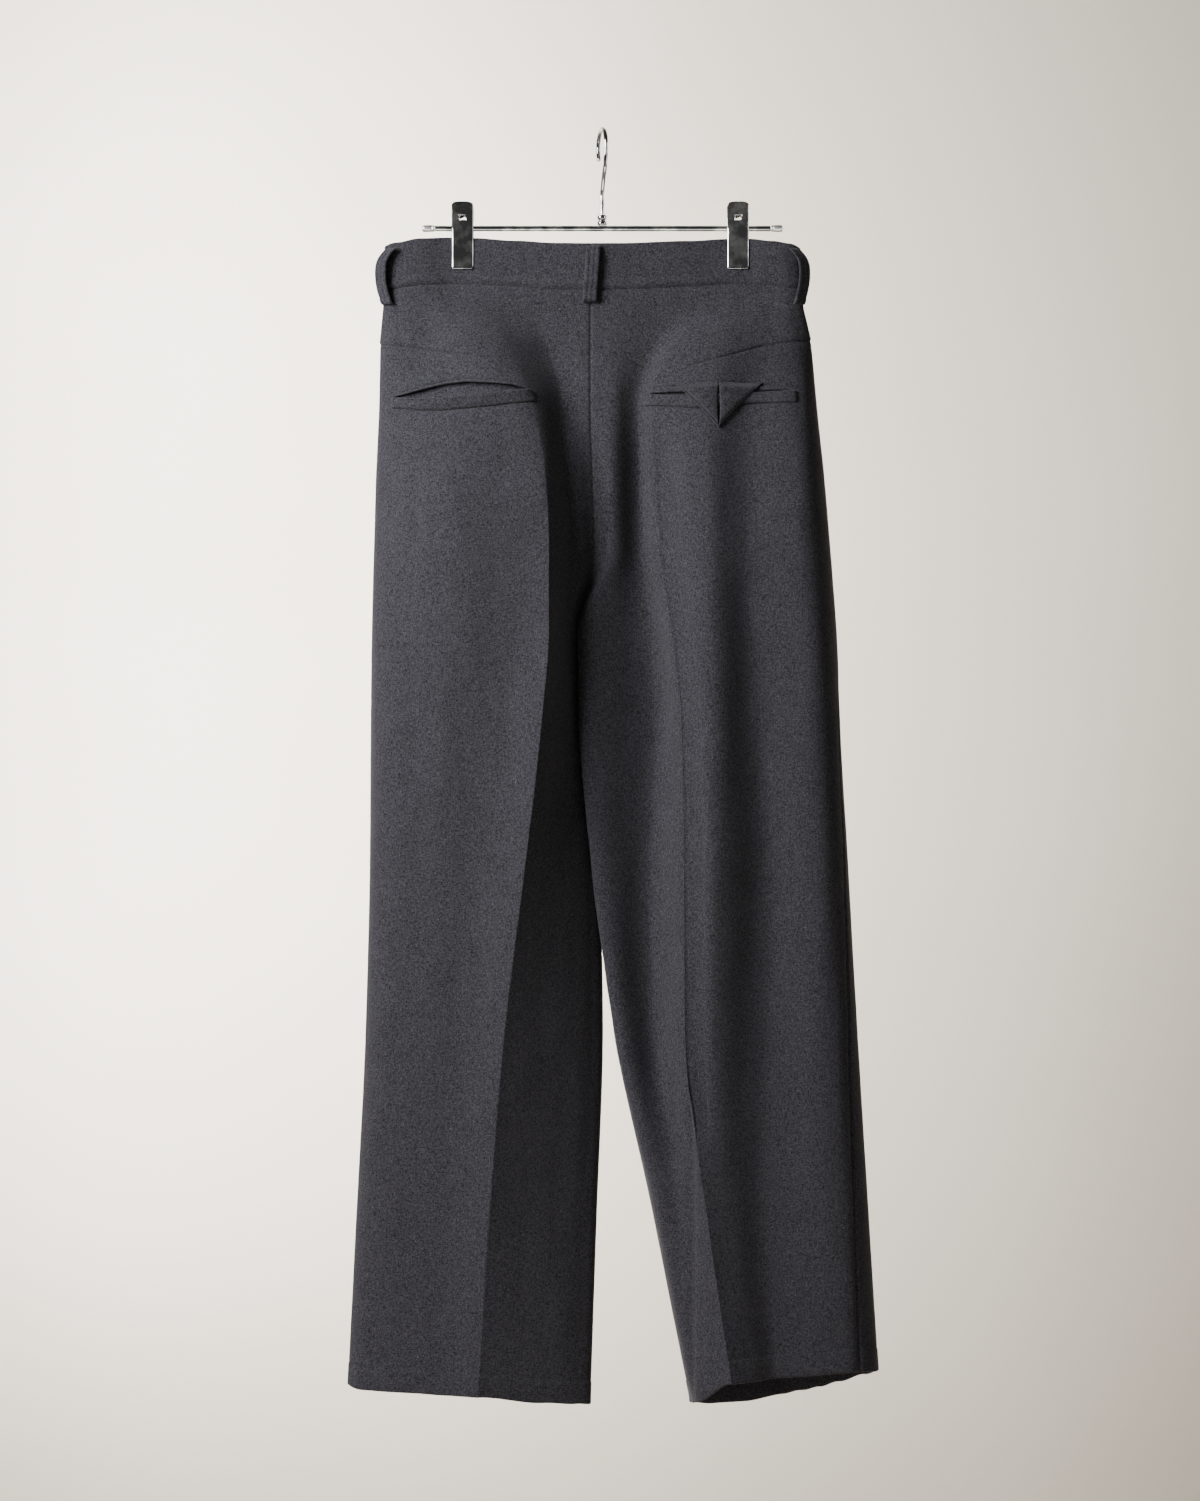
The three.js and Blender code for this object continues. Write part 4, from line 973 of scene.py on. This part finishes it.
# Waistband
# A straight band 45 mm high in two halves that meet behind the centre loop. It is two layers of
# cloth over a stiffener, folded at the top and sewn over the waist seam, which shows as a low roll.
WAISTBAND_CLOTH = 2.6
WAISTBAND_HEIGHT = 45
WAIST_ROWS = (0, 0.25, 0.7, 1.3, 2.2, 3.5, 5.5, 8, 11, 14, 17, 20, 23, 26, 29, 31.5, 34, 36, 38, 40,
              41.5, 42.8, 43.8, 44.6, WAISTBAND_HEIGHT)
waistbands = {}
for side in OUT:
    places = run_places(0, SIDE_LINE, 3.0, z=-130)[:-1]
    places += run_places(SIDE_LINE, CENTRE_FRONT, 4.2, z=-130)
    places = sorted(set(places))
    top = np.array([edge_height(side, run, "top") for run in places])
    seam = np.array([edge_height(side, run, "seam") + SEAM_GAP for run in places])
    heights = np.array([top + (seam - top) * row / WAISTBAND_HEIGHT for row in WAIST_ROWS])

    def band_relief(base, from_start, to_end):
        x, z = base[..., 0], base[..., 2]
        near_clip = np.exp(-((np.abs(x - CLIP_AT[side])) / 17) ** 4)
        free = 1 - near_clip
        lift = 0.8 * slack(base) * free * smooth_step(0, 6, top - z)
        lift -= 0.8 * groove(from_start, 1.4) + 0.8 * groove(to_end, 1.4)
        lift += 1.1 * groove(z - seam - 5.5, 3.4) * free
        lift -= 0.45 * groove(z - seam - 11.5, 1.8) * free
        lift -= 1.1 * groove(z - seam, 1.5)
        lift -= rounded_edge(top - z, 1.3)
        return lift

    outer, inner, normal = cloth_faces(side, places, heights, band_relief, WAISTBAND_CLOTH, "band")
    inner += normal * rounded_edge(top - heights, 1.25)[..., None]
    for column, run in enumerate(places):
        for grid in (outer, inner):
            if run < SIDE_LINE:
                grid[:, column, 1] = np.minimum(grid[:, column, 1], -SEAM_GAP)
            if run > SIDE_LINE:
                grid[:, column, 1] = np.maximum(grid[:, column, 1], SEAM_GAP)
    band = add_piece(f"waistband_{side}_cloth", *closed_sheet(outer, inner), wool)
    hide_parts(f"waistband_{side}")
    waistbands[side] = {"outer": outer}

# Back pocket welts
# Each pocket mouth has a welt of folded cloth along its lower edge and a facing behind it. The left
# pocket gapes, and the right one lies nearly shut.
WELT_OPENS = {"left": 5.5, "right": 1.2}
for side in OUT:
    panel = back_panels[side]
    marks = panel["marks"]
    mouth_from, mouth_to = POCKET_MOUTH[side]
    lip_seen = panel["seen_x"][marks["welt top"]]
    inside = np.flatnonzero((lip_seen > mouth_from - 4.5) & (lip_seen < mouth_to + 4.5))
    first_row, last_row = marks["welt top"], marks["welt bottom"]
    columns = slice(inside[0], inside[-1] + 1)
    strip = panel["outer"][first_row:last_row + 1, columns]
    lie = panel["normal"][first_row:last_row + 1, columns]
    fine_rows = np.concatenate([[0, 0.05, 0.15], np.linspace(0.3, 0.85, 6), [0.95, 1]])
    fine_rows *= len(strip) - 1
    low = np.clip(np.floor(fine_rows).astype(int), 0, len(strip) - 2)
    share = (fine_rows - low)[:, None, None]
    strip = strip[low] * (1 - share) + strip[low + 1] * share
    lie = unit(lie[low] * (1 - share) + lie[low + 1] * share)
    down = (fine_rows / fine_rows[-1])[:, None]
    along = np.linspace(0, 1, strip.shape[1])[None, :]
    opens = WELT_OPENS[side] * np.sin(math.pi * np.clip(along, 0, 1)) ** 0.8 * (1 - down) ** 1.2
    width = np.linalg.norm(strip[0] - strip[-1], axis=-1)[None, :]
    run_on = np.linalg.norm(np.diff(strip[0], axis=0), axis=-1)
    from_end = np.concatenate([[0], np.cumsum(run_on)])[None, :]
    from_end = np.minimum(from_end, from_end[0, -1] - from_end)
    soft_top = rounded_edge(down * width, 0.9)
    soft_bottom = rounded_edge((1 - down) * width, 0.9)
    soft_end = rounded_edge(from_end, 0.8)
    thick = 1.5 - soft_top * 0.8 - soft_bottom * 0.9 - soft_end * 0.7
    outer = strip + lie * (0.25 + opens + thick)[..., None]
    inner = strip + lie * (0.15 + opens + soft_top * 0.4)[..., None]
    welt = add_piece(f"back_pocket_welt_{side}_cloth", *closed_sheet(outer, inner), wool)
    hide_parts(f"back_pocket_welt_{side}")

    rows = slice(marks["yoke"] + 5, marks["welt bottom"] + 6)
    pouch = panel["outer"][rows, columns]
    pouch_lie = panel["normal"][rows, columns]
    ripple = np.sin(along * 17 + 0.6) * 0.5 + np.sin(along * 31 + pouch[..., 2] / 6) * 0.35
    recess = 3.0 if side == "left" else 2.5
    drop = CLOTH + 0.8 + (recess + ripple * 0.8) * np.sin(math.pi * np.clip(along, 0, 1)) ** 0.6
    outer = pouch - pouch_lie * drop[..., None]
    inner = pouch - pouch_lie * (drop + 1.0)[..., None]
    facing = add_piece(f"back_pocket_facing_{side}", *closed_sheet(outer, inner), wool)

# Pointed tab
# A strip of the same cloth is folded to a point and caught in the right pocket's upper edge. The
# two halves meet along the middle, where the button hole is a slit.
TAB = {"top": -243.5, "point": -287.5, "left": 67, "right": 153.5, "slit": 110.6}


def on_surface(tree, x, z, outward):
    """Outer face of a piece at x and z, looked up from the back (-1) or the front (1)."""
    hit = tree.ray_cast(Vector((x * MM, outward * 0.5, z * MM)), Vector((0, -outward, 0)))
    return None if hit[0] is None else hit[0].y / MM


def surface_of(*grids):
    """Closed outer faces of some panels, with their pocket mouths filled, to lay trims on."""
    points = []
    faces = []
    for grid in grids:
        rows, columns = grid.shape[:2]
        index = len(points) + np.arange(rows * columns).reshape(rows, columns)
        corners = [index[:-1, :-1], index[:-1, 1:], index[1:, 1:], index[1:, :-1]]
        faces += np.stack(corners, -1).reshape(-1, 4).tolist()
        points += (grid.reshape(-1, 3) * MM).tolist()
    return BVHTree.FromPolygons(points, faces)


def laid_on(tree, x, z, outward):
    """Grid of y where a trim lies on the cloth, with gaps filled from the same row."""
    y = np.full(x.shape, np.nan)
    for at in np.ndindex(x.shape):
        found = on_surface(tree, x[at], z[at], outward)
        y[at] = np.nan if found is None else found
    for row in y:
        known = np.flatnonzero(~np.isnan(row))
        row[:] = np.interp(np.arange(len(row)), known, row[known])
    return y


back_cloth = surface_of(*[part[side]["outer"] for part in (back_panels, waistbands) for side in OUT])
for half, out in (("inner", -1), ("outer", 1)):
    down = np.concatenate([
        [0, 0.02, 0.04, 0.06, 0.09], np.linspace(0.12, 0.93, 25), [0.965, 0.985, 0.997]])
    reach = np.concatenate([[0, 0.02, 0.05, 0.1], np.linspace(0.17, 0.7, 9), np.linspace(0.74, 1, 27)])
    edge_x = TAB["left"] if out < 0 else TAB["right"]
    d, r = np.meshgrid(down, reach, indexing="ij")
    slit_open = 1.15 * np.sin(math.pi * np.clip((d - 0.1) / 0.88, 0, 1)) ** 0.7
    slit_x = TAB["slit"] + out * slit_open * (1 - r)
    bow = 1.6 * np.sin(math.pi * d)
    x = slit_x + (edge_x - TAB["slit"]) * (1 - d) * r - out * bow * r
    z = TAB["top"] + (TAB["point"] - TAB["top"]) * d - 0.8 * np.sin(math.pi * r) * (1 - d)
    y = laid_on(back_cloth, x, z, -1)
    smooth_y = y.copy()
    for _ in range(6):
        smooth_y[1:-1] = (smooth_y[:-2] + smooth_y[1:-1] + smooth_y[2:]) / 3
    y = np.minimum(y, smooth_y)
    width = np.abs(edge_x - TAB["slit"]) * (1 - d)
    from_edge = (1 - r) * width * 0.65
    edge = rounded_edge(np.minimum(from_edge, r * width * 1.6), 0.8 if out < 0 else 2.2)
    puff = 1.2 * np.sin(math.pi * np.clip(r, 0, 1) * 0.9)
    lift = 1.4 + puff * np.sin(math.pi * np.clip(d + 0.15, 0, 1))
    lift += 1.9 - edge - (1.8 if out < 0 else 0.4) * groove(from_edge - 1.6, 0.8)
    emerges = smooth_step(-0.02, 0.13, d)
    outer = np.stack([x, y - 0.4 - lift * emerges, z], -1)
    inner = np.stack([x, y + 0.5 - 1.2 * emerges, z], -1)
    tab = add_piece(f"back_pocket_tab_{half}_cloth", *closed_sheet(outer, inner), wool)
    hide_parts(f"back_pocket_tab_{half}")

# Belt loops
# Strips folded in three and stitched, so that their face has fine ridges. Both ends are folded
# under and caught in the waistband, and the strip stands off the band between them.
LOOP_WIDTH = 13.5
LOOP_REACH = 6.5
LOOP_TOP = -111
LOOP_BOTTOM = -165
LOOP_STAND = 3.4
CENTRE_LOOP_X = -10
loop_down = np.concatenate([
    [0, 0.008, 0.02, 0.035], np.linspace(0.06, 0.94, 30), [0.965, 0.98, 0.992, 1]])
loop_across = np.linspace(-0.5, 0.5, 27)


def loop_strip(path, across, outward):
    """Outer and inner grids of a loop along a path, given the directions of its width and stand."""
    d, u = np.meshgrid(loop_down, loop_across, indexing="ij")
    ridges = 0.2 * np.cos(u * 2 * math.pi * 3) * (1 - smooth_step(0.4, 0.5, np.abs(u)))
    edge = rounded_edge((0.5 - np.abs(u)) * LOOP_WIDTH, 1.0)
    ends = rounded_edge(np.minimum(d, 1 - d) * (LOOP_TOP - LOOP_BOTTOM), 1.4)
    thick = 2.0 + ridges - edge - ends + 1.1 * smooth_step(0.88, 0.93, d)
    centre = path[:, None, :] + u[..., None] * LOOP_WIDTH * across
    return centre + outward * thick[..., None], centre + outward * (0.25 * edge)[..., None]


def loop_stand(d):
    """Share of its greatest stand at each step down a loop."""
    above = np.clip(d / 0.26, 0, 1)
    below = np.clip((1 - d) / 0.2, 0, 1)
    return np.sqrt(above * (2 - above)) * np.sqrt(below * (2 - below))


front_cloth = surface_of(*[part[side]["outer"] for part in (front_panels, waistbands) for side in OUT])
for name, tree, outward_y, at_x, lean in (
    ("belt_loop_centre_back", back_cloth, -1, CENTRE_LOOP_X, 3.8),
    ("belt_loop_front_left", front_cloth, 1, -86, 0),
    ("belt_loop_front_right", front_cloth, 1, 86, 0),
):
    centre_x = at_x - lean * (loop_down - 0.5)
    z = LOOP_TOP + (LOOP_BOTTOM - LOOP_TOP) * loop_down
    edges = np.stack([centre_x - LOOP_REACH, centre_x, centre_x + LOOP_REACH], -1)
    y = laid_on(tree, edges, np.repeat(z[:, None], 3, 1), outward_y)
    clear = (y.min(1) if outward_y < 0 else y.max(1)) + outward_y * 0.5
    y = clear + outward_y * LOOP_STAND * loop_stand(loop_down)
    path = np.stack([centre_x, y, z], -1)
    outer, inner = loop_strip(path, np.array([1.0, 0, 0]), np.array([0, float(outward_y), 0]))
    loop = add_piece(f"{name}_strip", *closed_sheet(outer, inner), wool)
    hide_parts(name)

SIDE_LOOP_TURN = math.radians(50)
for side, out in OUT.items():
    outward = np.array([out * math.cos(SIDE_LOOP_TURN), -math.sin(SIDE_LOOP_TURN), 0])
    across = np.array([out * math.sin(SIDE_LOOP_TURN), math.cos(SIDE_LOOP_TURN), 0])
    z = LOOP_TOP - 2 + (LOOP_BOTTOM - LOOP_TOP) * loop_down
    fold_x = fold_point(side, SIDE_LINE, z)[:, 0]
    above = np.clip((0.4 - loop_down) / 0.4, 0, 1) ** 2.4
    below = 0.8 * np.clip((loop_down - 0.4) / 0.6, 0, 1) ** 2.2
    tucked = above + below
    path = np.stack([fold_x - out * (2 + 6.5 * tucked), -3.0 - 3.4 * tucked, z], -1)
    path += outward * (7.1 - 6.0 * tucked)[:, None]
    outer, inner = loop_strip(path, across, outward)
    loop = add_piece(f"belt_loop_side_{side}_strip", *closed_sheet(outer, inner), wool)
    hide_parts(f"belt_loop_side_{side}")

# Front trims: side pocket edges, fly strip and waist button
# The slanted pocket edges and the fly strip are folded cloth sewn flat. The button is dark horn.
POCKET_EDGE_TOP = -160
POCKET_EDGE_BOTTOM = -300
POCKET_EDGE_WIDTH = 9
FLY_TOP = -158
FLY_BOTTOM = -322
FLY_WIDTH = 34
FLY_STITCHES = 5


def sewn_flat(z, start, width, u, stands, stitches=0):
    """x, y of the cloth, z and the top face of a strip sewn on the front, from its starting edge."""
    x = start[:, None] - width[:, None] * u[None, :]
    heights = np.repeat(z[:, None], len(u), 1)
    y = laid_on(front_cloth, x, heights, 1)
    edge = rounded_edge(np.minimum(u, 1 - u)[None, :] * np.abs(width)[:, None], 0.9)
    return x, y, heights, y + stands - edge - stitches


for side, out in OUT.items():
    down = np.linspace(0, 1, 40)
    z = POCKET_EDGE_TOP + (POCKET_EDGE_BOTTOM - POCKET_EDGE_TOP) * down
    centre = fold_point(side, 0, z)[:, 0]
    reach = fold_point(side, SIDE_LINE, z)[:, 0] - centre
    start = centre + reach * (0.84 + 0.08 * down)
    width = np.full(len(z), out * POCKET_EDGE_WIDTH)
    x, y, heights, face_y = sewn_flat(z, start, width, np.linspace(0, 1, 9), 1.9)
    outer = np.stack([x, face_y, heights], -1)
    inner = np.stack([x, y + 0.4, heights], -1)
    pocket_edge = add_piece(f"side_pocket_edge_{side}_cloth", *closed_sheet(outer, inner), wool)
    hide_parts(f"side_pocket_edge_{side}")

down = np.linspace(0, 1, 60)
u = np.linspace(0, 1, 17)
z = FLY_TOP + (FLY_BOTTOM - FLY_TOP) * down
start = fold_point("left", 0, z)[:, 0] - 1.6
width = FLY_WIDTH * (1 - 0.85 * down ** 6)
stitches = 0.35 * groove((1 - u)[None, :] * width[:, None] - FLY_STITCHES, 0.9)
x, y, heights, face_y = sewn_flat(z, start, width, u, 2.2, stitches)
outer = np.stack([x, face_y, heights], -1)
inner = np.stack([x, y + 0.5, heights], -1)
fly = add_piece("fly_strip_cloth", *closed_sheet(outer, inner), wool)
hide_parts("fly_strip")

horn, nodes, links, horn_shader = start_material("dark horn")
horn_shader.inputs["Roughness"].default_value = 0.28
place = nodes.new("ShaderNodeTexCoord").outputs["Object"]
cloud = add_node("TexNoise", {"Scale": 260, "Distortion": 1.2}, place).outputs["Fac"]
cloud_colour = colours_between(cloud, 0.35, (0.012, 0.011, 0.012), 0.72, (0.06, 0.05, 0.042))
links.new(cloud_colour, horn_shader.inputs["Base Color"])
low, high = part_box("waist_button")
button_x, button_z = (low.x + high.x) / 2 / MM, (low.z + high.z) / 2 / MM
button_y = low.y / MM
button_profile = [(0, 7.6), (0.3, 8.2), (0.9, 8.5), (2.0, 8.5), (2.7, 8.1), (3.0, 7.3), (2.8, 6.6),
                  (2.2, 6.0), (2.0, 4.5), (1.95, 0.05)]
points, faces = turned(button_profile, "Z", (0, 0, 0), 36)
points = np.stack([button_x + points[:, 0], button_y + points[:, 2], button_z + points[:, 1]], -1)
button = add_piece("waist_button_horn", points, faces, horn)
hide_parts("waist_button")

low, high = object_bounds()
